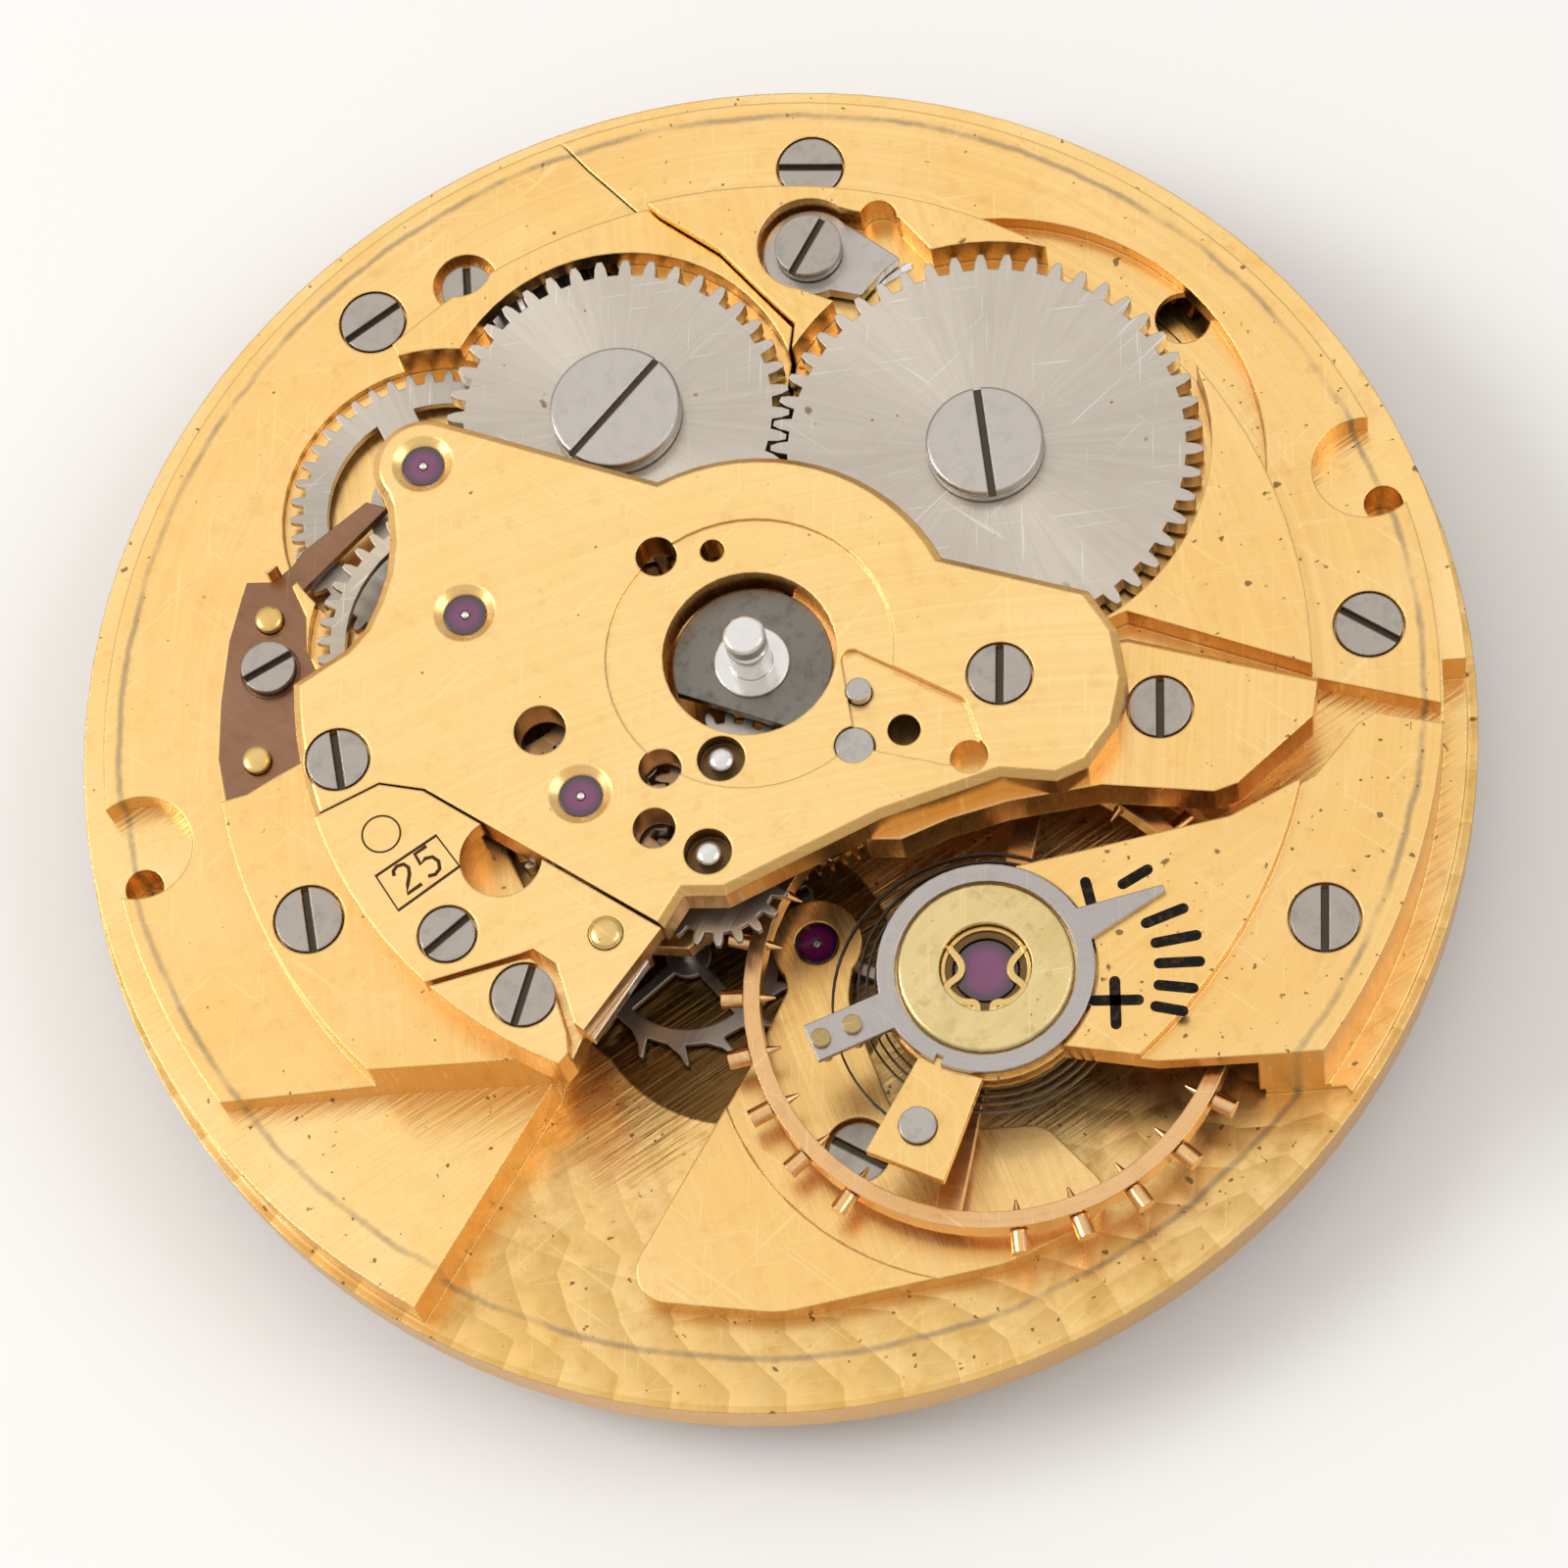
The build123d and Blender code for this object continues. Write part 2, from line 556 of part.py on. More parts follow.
def sector(inner, outer, start, end, bottom, top, mode):
    # A piece of a ring about the movement's axis
    with BuildSketch(Plane.XY.offset(bottom)) as ring:
        with BuildLine():
            CenterArc(CENTRE, outer, start, end - start)
            CenterArc(CENTRE, inner, start, end - start)
            Line(polar(CENTRE, inner, start), polar(CENTRE, outer, start))
            Line(polar(CENTRE, inner, end), polar(CENTRE, outer, end))
        make_face()
    block(ring, top - bottom, mode)


def box_cut(half_width, near, far, bottom, top):
    slab([(-half_width, near), (half_width, near), (half_width, far), (-half_width, far)],
         bottom, top, Mode.SUBTRACT)


def stem_ring(radius, near, far, mode=Mode.ADD):
    with BuildSketch(Plane.XZ.offset(-near)) as outline:
        with Locations((0, STEM_LEVEL)):
            Circle(radius)
    block(outline, near - far, mode)


with BuildPart() as balance_recess:
    slab(spots(WEDGE_CUT_SHARES), FLANGE_TOP, PLATE_TOP + OVERRUN)
    column(BALANCE, BALANCE_CLEAR_R, FLANGE_TOP, PLATE_TOP + OVERRUN)

with BuildPart() as cock_seat:
    slab(spots(COCK_SHARES), FLANGE_TOP, COCK_SEAT)
    column(BALANCE, BALANCE_CLEAR_R, FLANGE_TOP, COCK_SEAT, Mode.SUBTRACT)
    column(CENTRE, CASING_R, FLANGE_TOP, COCK_SEAT, Mode.INTERSECT)

with BuildPart() as mainplate:
    column(CENTRE, FLANGE_R, 0, FLANGE_TOP)
    column(CENTRE, CASING_R, FLANGE_TOP, PLATE_TOP)
    add(balance_recess.part, mode=Mode.SUBTRACT)
    add(cock_seat.part)
    slab(spots(COCK_SHARES), COCK_SEAT, PLATE_TOP + OVERRUN, Mode.SUBTRACT)
    sector(RIGHT_RING_R, FLANGE_R, -62, -24, FLANGE_TOP + PLAY, PLATE_TOP + OVERRUN, Mode.SUBTRACT)
    for start, end in NOTCH_SHARES:
        sector(NOTCH_R, FLANGE_R + OVERRUN, start, end, -OVERRUN, FLANGE_TOP, Mode.SUBTRACT)
    column(at(RECESS_SHARES), RECESS_R, ESCAPE_FLOOR, PLATE_TOP + OVERRUN, Mode.SUBTRACT)
    column(ESCAPE, ESCAPE_CLEAR_R, ESCAPE_FLOOR, PLATE_TOP + OVERRUN, Mode.SUBTRACT)
    bar(PALLET, BALANCE, LEVER_CLEAR, ESCAPE_FLOOR, PLATE_TOP, Mode.SUBTRACT)
    column(BALANCE, ROLLER_CLEAR_R, ROLLER_FLOOR, PLATE_TOP, Mode.SUBTRACT)
    column(BARREL, BARREL_CLEAR_R, BARREL_FLOOR, PLATE_TOP + OVERRUN, Mode.SUBTRACT)
    column(CENTRE, CENTRE_CLEAR_R, CENTRE_PINION_FOOT - RUN, PLATE_TOP + OVERRUN, Mode.SUBTRACT)
    column(THIRD, THIRD_CLEAR_R, THIRD_PINION_FOOT - PLAY, PLATE_TOP + OVERRUN, Mode.SUBTRACT)
    column(FOURTH, PINION_CLEAR_R, THIRD_PINION_FOOT - PLAY, PLATE_TOP + OVERRUN, Mode.SUBTRACT)
    box_cut(*WINDING_CAVITY, CAVITY_FLOOR, PLATE_TOP + OVERRUN)
    box_cut(*CLUTCH_CAVITY, STEM_LEVEL - CLUTCH_CAVITY[0], PLATE_TOP + OVERRUN)
    stem_ring(STEM_PILOT_R, STEM_PILOT_END, CLUTCH_CAVITY[1] + OVERRUN, Mode.SUBTRACT)
    stem_ring(STEM_BORE_R, WINDING_CAVITY[2] - OVERRUN, FLANGE_R + OVERRUN, Mode.SUBTRACT)
    column(CENTRE, DIAL_HOUR_R, -OVERRUN, DIAL_RECESS, Mode.SUBTRACT)
    column(MINUTE, DIAL_MINUTE_R, -OVERRUN, DIAL_RECESS, Mode.SUBTRACT)
    column(MINUTE, MINUTE_POST_R, RUN, DIAL_RECESS + RUN)
    column(CENTRE, CENTRE_HOLE_R, 0, PLATE_TOP, Mode.SUBTRACT)
    for place, floor in LOWER_PIVOTS:
        column(place, PIVOT_R + FIT, floor - PIVOT_DEPTH, floor + PLAY, Mode.SUBTRACT)
    for shares in DIAL_FOOT_SHARES:
        column(at(shares), DIAL_FOOT_R, -OVERRUN, DIAL_FOOT_DEPTH, Mode.SUBTRACT)
    for shares in CASE_SCREW_SHARES:
        column(at(shares), CASE_SCREW_R, CASE_SCREW_FLOOR, RIM_TOP, Mode.SUBTRACT)
    all_screw_holes()
    column(at(PALLET_SCREW_SHARES[0]), PALLET_SHANK_R + FIT, PALLET_SCREW_FOOT, FLANGE_TOP,
           Mode.SUBTRACT)
    column(at(LEVER_SCREW_SHARES[0]), LEVER_SHANK_R + FIT, 0, PLATE_TOP, Mode.SUBTRACT)
    slab(spots(LEVER_RECESS_SHARES), -OVERRUN, DIAL_RECESS, Mode.SUBTRACT)
save(mainplate, "mainplate")

# Barrel bridge: carries the ratchet wheel and the click
CRESCENT_R = 5.12
CRESCENT_FLOOR = 2.2
RATCHET_SEAT_R = 4.15
CROWN_SEAT_R = 3.4
ARBOR_SQUARE_R = 0.62
CLICK_SEAT_R = 0.95
CLICK_POCKET_SHARES = [
    (0.4, 0.647), (0.444, 0.6), (0.5, 0.555), (0.52, 0.475), (0.36, 0.475), (0.3, 0.545),
]
CLICK_DIMPLE_SHARES = (0.4725, 0.5711)
CLICK_DIMPLE_R = 0.35
D_HOLE_SHARES = (0.807, 0.2562)
D_HOLE_R = 0.52

with BuildPart() as crescent:
    column(BARREL, CRESCENT_R, CRESCENT_FLOOR, RIM_TOP + OVERRUN)
    column(CENTRE, TURNED_R, CRESCENT_FLOOR, RIM_TOP + OVERRUN, Mode.SUBTRACT)

with BuildPart() as crescent_window:
    column(at(D_HOLE_SHARES), D_HOLE_R, PLATE_TOP, RIM_TOP)
    column(BARREL, CRESCENT_R, PLATE_TOP, RIM_TOP, Mode.INTERSECT)

with BuildPart() as barrel_bridge:
    slab(spots(BARREL_BRIDGE_SHARES), PLATE_TOP, BRIDGE_TOP)
    turned(rotor_profile(RIM_STEP_R, RIM_TOP, BRIDGE_TOP, PLATE_TOP), Mode.INTERSECT)
    slab(spots(LEDGE_SHARES), PLATE_TOP, TRAIN_PLATE_TOP)
    column(BALANCE, BALANCE_CLEAR_R, PLATE_TOP, BALANCE_TOP + PLAY, Mode.SUBTRACT)
    column(BARREL, RATCHET_SEAT_R, WHEEL_SEAT, BRIDGE_TOP + OVERRUN, Mode.SUBTRACT)
    column(CROWN, CROWN_SEAT_R, WHEEL_SEAT, BRIDGE_TOP + OVERRUN, Mode.SUBTRACT)
    column(CLICK, CLICK_SEAT_R, WHEEL_SEAT, BRIDGE_TOP + OVERRUN, Mode.SUBTRACT)
    slab(spots(CLICK_POCKET_SHARES), WHEEL_SEAT, BRIDGE_TOP + OVERRUN, Mode.SUBTRACT)
    column(at(CLICK_DIMPLE_SHARES), CLICK_DIMPLE_R, WHEEL_SEAT, BRIDGE_TOP + OVERRUN, Mode.SUBTRACT)
    add(crescent.part, mode=Mode.SUBTRACT)
    add(crescent_window.part, mode=Mode.SUBTRACT)
    column(BARREL, ARBOR_SQUARE_R + RUN, PLATE_TOP, WHEEL_SEAT, Mode.SUBTRACT)
    column(CLICK, CLICK_SHANK_R + FIT, CLICK_SCREW_FOOT, WHEEL_SEAT, Mode.SUBTRACT)
    column(at(SCOOP_SHARES[1]), SCOOP_R, PLATE_TOP, RIM_TOP, Mode.SUBTRACT)
    all_screw_holes()
save(barrel_bridge, "barrel_bridge")

# Train bridge: crown wheel seat, left shelf and the upper bearings of the going train
SLOTTED_SEAT_R = 3.05
SPOKED_SEAT_R = 3.12
SPOKED_SEAT_FLOOR = 3.24
FOURTH_ROOF_R = 2.72
SWEEP_ROOF = 2.62
GUARD_FLOOR = 2.86
GUARD_TOP = 3.06
AXIS_LOBE_R = 0.95
PILLAR_R = 0.75
CROWN_CORE_R = 0.95
CROWN_BOSS_TOP = 3.32
PIN_SEAT = 2.4
SLOTTED_GROUND_SHARES = [
    (-0.57, 0.488), (-0.86, 0.55), (-0.6, 0.9), (-0.245, 0.9), (-0.245, 0.715), (-0.29, 0.6),
    (-0.45, 0.49),
]

with BuildPart() as train_bridge:
    slab(spots(TRAIN_BRIDGE_SHARES), PLATE_TOP, BRIDGE_TOP)
    turned(rotor_profile(RIM_STEP_R, RIM_TOP, BRIDGE_TOP, PLATE_TOP), Mode.INTERSECT)
    column(CENTRE, AXIS_LOBE_R, PLATE_TOP, TRAIN_PLATE_TOP)
    slab(spots(CROWN_SIDE_SHARES), CROWN_SIDE_TOP, BRIDGE_TOP + OVERRUN, Mode.SUBTRACT)
    slab(spots(CAVITY_SHARES), TRAIN_PLATE_TOP, BRIDGE_TOP + OVERRUN, Mode.SUBTRACT)
    column(CROWN, CROWN_SEAT_R, WHEEL_SEAT, BRIDGE_TOP + OVERRUN, Mode.SUBTRACT)
    column(BARREL, RATCHET_SEAT_R, WHEEL_SEAT, BRIDGE_TOP + OVERRUN, Mode.SUBTRACT)
    column(SPOKED, SPOKED_SEAT_R, SPOKED_SEAT_FLOOR, BRIDGE_TOP + OVERRUN, Mode.SUBTRACT)
    column(SLOTTED, SLOTTED_SEAT_R, TRAIN_ROOF, BRIDGE_TOP + OVERRUN, Mode.SUBTRACT)
    column(SPOKED, PINION_CLEAR_R, TRAIN_ROOF, BRIDGE_TOP, Mode.SUBTRACT)
    slab(spots(GUARD_SEAT_SHARES), GUARD_FLOOR, BRIDGE_TOP + OVERRUN, Mode.SUBTRACT)
    slab(spots(SLOTTED_GROUND_SHARES), RIM_TOP, BRIDGE_TOP + OVERRUN, Mode.SUBTRACT)
    column(CROWN, CROWN_CORE_R, WHEEL_SEAT - PLAY, CROWN_BOSS_TOP)
    column(FOURTH, FOURTH_ROOF_R, PLATE_TOP, FOURTH_ROOF, Mode.SUBTRACT)
    column(ESCAPE, PINION_CLEAR_R, PLATE_TOP, ESCAPE_ROOF, Mode.SUBTRACT)
    column(BALANCE, BALANCE_CLEAR_R, PLATE_TOP, SWEEP_ROOF, Mode.SUBTRACT)
    column(CENTRE, PINION_CLEAR_R, PLATE_TOP, SECONDS_ROOF, Mode.SUBTRACT)
    box_cut(*WINDING_CAVITY, PLATE_TOP, DRIVER_PINION_FOOT)
    box_cut(*CLUTCH_CAVITY, PLATE_TOP, STEM_LEVEL + CLUTCH_CAVITY[0])
    column(at(AUTOMATIC_SCREW_SHARES["top_bridge_left"][0]), PILLAR_R, BRIDGE_TOP - PLAY,
           TOP_BRIDGE_FOOT)
    for place, roof in UPPER_PIVOTS:
        jewel_seat(place, roof)
        column(place, PIVOT_R + FIT, roof - PLAY, roof + JEWEL_HEIGHT + PLAY, Mode.SUBTRACT)
    for place, floor in SHELF_PIVOTS:
        column(place, PIVOT_R + FIT, floor - PIVOT_DEPTH, floor + PLAY, Mode.SUBTRACT)
    for place in REVERSERS:
        column(place, REVERSER_PIN_R + FIT, PIN_SEAT, TRAIN_PLATE_TOP, Mode.SUBTRACT)
    column(CROWN, CROWN_SHANK_R + FIT, PLATE_TOP, CROWN_BOSS_TOP, Mode.SUBTRACT)
    column(at(SCOOP_SHARES[0]), SCOOP_R, PLATE_TOP, RIM_TOP, Mode.SUBTRACT)
    column(at(LEVER_SCREW_SHARES[0]), LEVER_CUTOUT_R, PLATE_TOP, RIM_TOP + OVERRUN, Mode.SUBTRACT)
    all_screw_holes()
save(train_bridge, "train_bridge")

TAIL_BEVEL = 0.1
POST_SHANK_R = 0.2
BAR_HEIGHT = 0.3
STEEL_BAR_SHARES = [(-0.325, -0.32), (-0.44, -0.388), (-0.433, -0.4), (-0.318, -0.332)]
COVER_PIN_SHARES = (-0.355, -0.283)
COVER_PIN_R = 0.3
LOBE_R = 0.94

# Lower automatic bridges: the tail plate on the right, the base and foot on the left
TAIL_FOOT = 2.96
POST_LOBE_R = 0.72
GEAR_CLEAR = 0.14
HOLE_SHARES = (-0.437, -0.113)
COVER_HOLE_R = 0.74

with BuildPart() as tail_plate:
    slab(spots(TAIL_SHARES), TAIL_FOOT, TOP_BRIDGE_FOOT)
    column(CENTRE, POST_LOBE_R, TAIL_FOOT, TOP_BRIDGE_FOOT)
    column(BARREL, RATCHET_SEAT_R, TAIL_FOOT, TOP_BRIDGE_FOOT, Mode.SUBTRACT)
    for place in REVERSERS:
        reach = tip_radius(REVERSER_TEETH, REVERSER_PITCH) + GEAR_CLEAR
        column(place, reach, TAIL_FOOT, TOP_BRIDGE_FOOT, Mode.SUBTRACT)
    column(CENTRE, POST_SHANK_R + FIT, TAIL_FOOT, TOP_BRIDGE_FOOT, Mode.SUBTRACT)
    all_screw_holes()
    top_edges = tail_plate.faces().sort_by(Axis.Z)[-1].edges()
    chamfer(top_edges.filter_by(GeomType.LINE).sort_by(SortBy.LENGTH)[-3:], TAIL_BEVEL)
save(tail_plate, "tail_plate")

with BuildPart() as cover_base:
    slab(spots(BASE_SHARES), BRIDGE_TOP, COVER_FOOT)
    slab(spots(FOOT_SHARES), COVER_FOOT, TOP_BRIDGE_TOP)
    column(CENTRE, AUTOMATIC_R, BRIDGE_TOP, TOP_BRIDGE_TOP, Mode.INTERSECT)
    driving_reach = tip_radius(DRIVING_TEETH, DRIVING_PITCH) + GEAR_CLEAR
    spoked_reach = tip_radius(SPOKED_TEETH, SPOKED_PITCH) + GEAR_CLEAR
    reverser_reach = tip_radius(REVERSER_TEETH, REVERSER_PITCH) + GEAR_CLEAR
    column(DRIVING, driving_reach, BRIDGE_TOP, COVER_FOOT, Mode.SUBTRACT)
    column(SPOKED, spoked_reach, BRIDGE_TOP, COVER_FOOT, Mode.SUBTRACT)
    column(REVERSERS[1], reverser_reach, BRIDGE_TOP, COVER_FOOT, Mode.SUBTRACT)
    column(at(HOLE_SHARES), COVER_HOLE_R, BRIDGE_TOP, COVER_FOOT, Mode.SUBTRACT)
    slab(spots(STEEL_BAR_SHARES), COVER_FOOT - BAR_HEIGHT, COVER_FOOT, Mode.SUBTRACT)
    column(at(COVER_PIN_SHARES), COVER_PIN_R + FIT, BRIDGE_TOP, COVER_FOOT, Mode.SUBTRACT)
    all_screw_holes()
save(cover_base, "cover_base")

# Steel bar that lies in the step under the cover plate's edge
with BuildPart() as steel_bar:
    slab(spots(STEEL_BAR_SHARES), COVER_FOOT - BAR_HEIGHT + FIT, COVER_FOOT - FIT)
save(steel_bar, "locking_bar")

# Automatic bridge: the broad plate on top
BORE_R = 1.57
BORE_RING_R = 2.6
BORE_RING_DEPTH = 0.06
CENTRE_DISC_R = 3.87
SUNK_DEPTH = 0.18
SUNK_CORNER_R = 0.2
SUNK_SHARES = [(0.117, -0.043), (0.235, -0.207), (0.225, -0.275), (0.19, -0.3), (0.07, -0.2)]
AUTOMATIC_JEWELS = (SLOTTED, SPOKED, DRIVING)
COUNTERSINK_DEPTH = 0.12
INSPECTION_HOLE_SHARES = {
    "mesh_window": ((-0.31, 0.033), 0.0367),
    "upper_dark": ((-0.053, 0.195), 0.0289),
    "upper_thread": ((0.021, 0.166), 0.0172),
    "first_mesh": ((-0.185, -0.098), 0.0297),
    "second_mesh": ((-0.23, -0.175), 0.0297),
    "right_thread": ((0.141, -0.203), 0.0227),
    "right_plain": ((0.202, -0.284), 0.0266),
}
PLUG_HOLE_SHARES = {
    "steel_pin": ((0.11, -0.125), 0.0188),
    "steel_plug": ((0.069, -0.194), 0.0281),
}
REVERSER_HOLE_R = 0.43
PIN_SHELF = 4.3
COVER_SIDE = (-0.27, 0.08)


def along_cover(edge):
    # The straight edges that the cover plate lies against keep their corner
    middle = edge.center()
    return middle.X < COVER_SIDE[0] * CASING_R and middle.Y < COVER_SIDE[1] * CASING_R


with BuildPart() as automatic_bridge:
    slab(spots(TOP_BRIDGE_SHARES), TOP_BRIDGE_FOOT, TOP_BRIDGE_TOP)
    column(CENTRE, AUTOMATIC_R, TOP_BRIDGE_FOOT, TOP_BRIDGE_TOP, Mode.INTERSECT)
    column(SLOTTED, LOBE_R, TOP_BRIDGE_FOOT, TOP_BRIDGE_TOP)
    column(CENTRE, CENTRE_DISC_R, TOP_BRIDGE_FOOT, TOP_BRIDGE_TOP)
    rim_edges = automatic_bridge.faces().sort_by(Axis.Z)[-1].edges()
    chamfer([edge for edge in rim_edges if not along_cover(edge)], BEVEL)
    column(CENTRE, BORE_RING_R, TOP_BRIDGE_TOP - BORE_RING_DEPTH, TOP_BRIDGE_TOP, Mode.SUBTRACT)
    rounded_slab(spots(SUNK_SHARES), SUNK_CORNER_R, TOP_BRIDGE_TOP - SUNK_DEPTH, TOP_BRIDGE_TOP,
                 Mode.SUBTRACT)
    column(CENTRE, BORE_R, TOP_BRIDGE_FOOT, TOP_BRIDGE_TOP, Mode.SUBTRACT)
    for shares, radius_share in (*INSPECTION_HOLE_SHARES.values(), *PLUG_HOLE_SHARES.values()):
        column(at(shares), radius_share * CASING_R, TOP_BRIDGE_FOOT, TOP_BRIDGE_TOP, Mode.SUBTRACT)
    for place in REVERSERS:
        column(place, REVERSER_PIN_R + FIT, TOP_BRIDGE_FOOT, TOP_BRIDGE_TOP, Mode.SUBTRACT)
        column(place, REVERSER_HOLE_R, PIN_SHELF, TOP_BRIDGE_TOP, Mode.SUBTRACT)
    for place in AUTOMATIC_JEWELS:
        with Locations(Location((*place, TOP_BRIDGE_TOP - COUNTERSINK_DEPTH))):
            Cone(JEWEL_R, JEWEL_SINK_R + COUNTERSINK_DEPTH, 2 * COUNTERSINK_DEPTH,
                 align=(Align.CENTER, Align.CENTER, Align.MIN), mode=Mode.SUBTRACT)
        jewel_seat(place, TOP_BRIDGE_TOP - COUNTERSINK_DEPTH - JEWEL_HEIGHT)
        column(place, PIVOT_R + FIT, TOP_BRIDGE_FOOT, TOP_BRIDGE_TOP, Mode.SUBTRACT)
    all_screw_holes()
save(automatic_bridge, "automatic_bridge")

# Cover plate beside it
with BuildPart() as cover_plate:
    slab(spots(COVER_SHARES), COVER_FOOT, TOP_BRIDGE_TOP)
    column(CENTRE, AUTOMATIC_R, COVER_FOOT, TOP_BRIDGE_TOP, Mode.INTERSECT)
    column(at(HOLE_SHARES), COVER_HOLE_R, COVER_FOOT, TOP_BRIDGE_TOP, Mode.SUBTRACT)
    column(at(COVER_PIN_SHARES), COVER_PIN_R + FIT, COVER_FOOT, TOP_BRIDGE_TOP, Mode.SUBTRACT)
    all_screw_holes()
save(cover_plate, "cover_plate")

# Balance cock: a foot on the plate's rim and an arm to the balance
RING_CLEAR_R = 4.98
COCK_RIM_R = 12.35
COCK_NOSE_R = 1.95
SHOCK_SEAT_R = 0.95
HUB_R = 1.52
CARRIER_FOOT = 3.2
REGULATOR_R = 1.93

with BuildPart() as balance_cock:
    slab(spots(COCK_SHARES), COCK_SEAT, BRIDGE_TOP)
    turned(rotor_profile(COCK_RIM_R, COCK_RING_TOP, BRIDGE_TOP, COCK_SEAT), Mode.INTERSECT)
    column(BALANCE, RING_CLEAR_R, COCK_SEAT, COCK_ARM_FOOT, Mode.SUBTRACT)
    column(BALANCE, COCK_NOSE_R, COCK_ARM_FOOT, BRIDGE_TOP)
    column(BALANCE, REGULATOR_R + RUN, CARRIER_FOOT, BRIDGE_TOP, Mode.SUBTRACT)
    column(BALANCE, HUB_R, COCK_ARM_FOOT, BRIDGE_TOP)
    column(BALANCE, SHOCK_SEAT_R, COCK_ARM_FOOT, BRIDGE_TOP, Mode.SUBTRACT)
    all_screw_holes()
save(balance_cock, "balance_cock")

# Pallet bridge: the bean-shaped plate under the balance
PALLET_LOBE_R = 0.82
PALLET_OUTLINE_SHARES = [
    ((-0.14, -0.32), 0.0234),
    ((-0.016, -0.33), 0.0234),
    ((-0.088, -0.44), 0.0625),
    ((-0.106, -0.65), 0.0391),
    ((0.075, -0.73), 0.0391),
    ((0.125, -0.89), 0.0469),
    ((-0.06, -0.885), 0.1562),
    ((-0.37, -0.805), 0.1562),
    ((-0.565, -0.68), 0.0469),
    ((-0.255, -0.465), 0.0391),
    ((-0.155, -0.385), 0.0234),
]
PALLET_TURNED_R = 5.15

with BuildPart() as pallet_bridge:
    corners = spots([shares for shares, radius_share in PALLET_OUTLINE_SHARES])
    radii = [radius_share * CASING_R for shares, radius_share in PALLET_OUTLINE_SHARES]
    rounded_slab(corners, radii, FLANGE_TOP, PALLET_BRIDGE_TOP)
    column(PALLET, PALLET_LOBE_R, FLANGE_TOP, PALLET_BRIDGE_TOP)
    column(BALANCE, PALLET_TURNED_R, PALLET_TURNED_TOP, PALLET_BRIDGE_TOP, Mode.SUBTRACT)
    column(BALANCE, ROLLER_CLEAR_R, FLANGE_TOP, PALLET_BRIDGE_TOP, Mode.SUBTRACT)
    jewel_seat(PALLET, PALLET_TURNED_TOP - JEWEL_HEIGHT)
    column(PALLET, PIVOT_R + FIT, FLANGE_TOP, PALLET_BRIDGE_TOP, Mode.SUBTRACT)
    screw_hole(at(PALLET_SCREW_SHARES[0]), PALLET_HEAD_R, PALLET_SCREW_SHARES[1],
               PALLET_SHANK_R, FLANGE_TOP)
save(pallet_bridge, "pallet_bridge")

# Barrel: drum with teeth, cover, arbor and mainspring
MAINSPRING_R = 4.5
MAINSPRING_CORE_R = 2.2
SPRING_GAP = 0.06
ARBOR_CORE_R = 1.3
SQUARE_SHARE = 0.66

with BuildPart() as barrel_drum:
    gear(BARREL, BARREL_TEETH, BARREL_PITCH, BARREL_PHASE, BARREL_TEETH_FOOT, BARREL_TEETH_TOP)
    column(BARREL, BARREL_DRUM_R, BARREL_FOOT, BARREL_TOP)
    column(BARREL, BARREL_DRUM_R - BARREL_WALL, BARREL_FOOT + BARREL_END, BARREL_TOP, Mode.SUBTRACT)
    column(BARREL, ARBOR_SQUARE_R + RUN, BARREL_FOOT, BARREL_TOP, Mode.SUBTRACT)
save(barrel_drum, "barrel_drum")

with BuildPart() as barrel_cover:
    column(BARREL, BARREL_DRUM_R - BARREL_WALL - FIT, BARREL_TOP - BARREL_END, BARREL_TOP)
    column(BARREL, ARBOR_SQUARE_R + RUN, BARREL_FOOT, BARREL_TOP, Mode.SUBTRACT)
save(barrel_cover, "barrel_cover")

with BuildPart() as mainspring:
    spring_foot = BARREL_FOOT + BARREL_END + SPRING_GAP
    spring_top = BARREL_TOP - BARREL_END - SPRING_GAP
    column(BARREL, MAINSPRING_R, spring_foot, spring_top)
    column(BARREL, MAINSPRING_CORE_R, spring_foot, spring_top, Mode.SUBTRACT)
save(mainspring, "mainspring")

with BuildPart() as barrel_arbor:
    arbor(BARREL, [
        (PIVOT_R * 3, BARREL_FLOOR + RUN, BARREL_FOOT),
        (ARBOR_SQUARE_R, BARREL_FOOT, RATCHET_FOOT - RUN),
        (ARBOR_CORE_R, spring_foot, spring_top),
    ])
    column(BARREL, RATCHET_SHANK_R + FIT, RATCHET_SCREW_FOOT, RATCHET_FOOT, Mode.SUBTRACT)
save(barrel_arbor, "barrel_arbor")

# Ratchet wheel, crown wheel, click
RATCHET_HEAD_R = 1.09
CROWN_HEAD_R = 1.23
WHEEL_HEAD_HEIGHT = 0.35
WHEEL_EDGE_BEVEL = 0.05


def wheel_screw(place, head_radius, head_foot, shank_radius, shank_foot, turn):
    top = head_foot + WHEEL_HEAD_HEIGHT
    column(place, head_radius, head_foot, top)
    chamfer(faces().sort_by(Axis.Z)[-1].edges(), WHEEL_EDGE_BEVEL)
    column(place, shank_radius, shank_foot, head_foot)
    with BuildSketch(Plane.XY.offset(top - SLOT_DEPTH)) as slot:
        with Locations(Location((*place, 0), (0, 0, turn))):
            Rectangle(2 * head_radius + OVERRUN, SLOT_WIDTH)
    block(slot, SLOT_DEPTH + OVERRUN, Mode.SUBTRACT)


with BuildPart() as ratchet_wheel:
    gear(BARREL, RATCHET_TEETH, RATCHET_PITCH, RATCHET_PHASE, RATCHET_FOOT, RATCHET_TOP)
    column(BARREL, RATCHET_SHANK_R + FIT, RATCHET_FOOT, RATCHET_TOP, Mode.SUBTRACT)
save(ratchet_wheel, "ratchet_wheel")

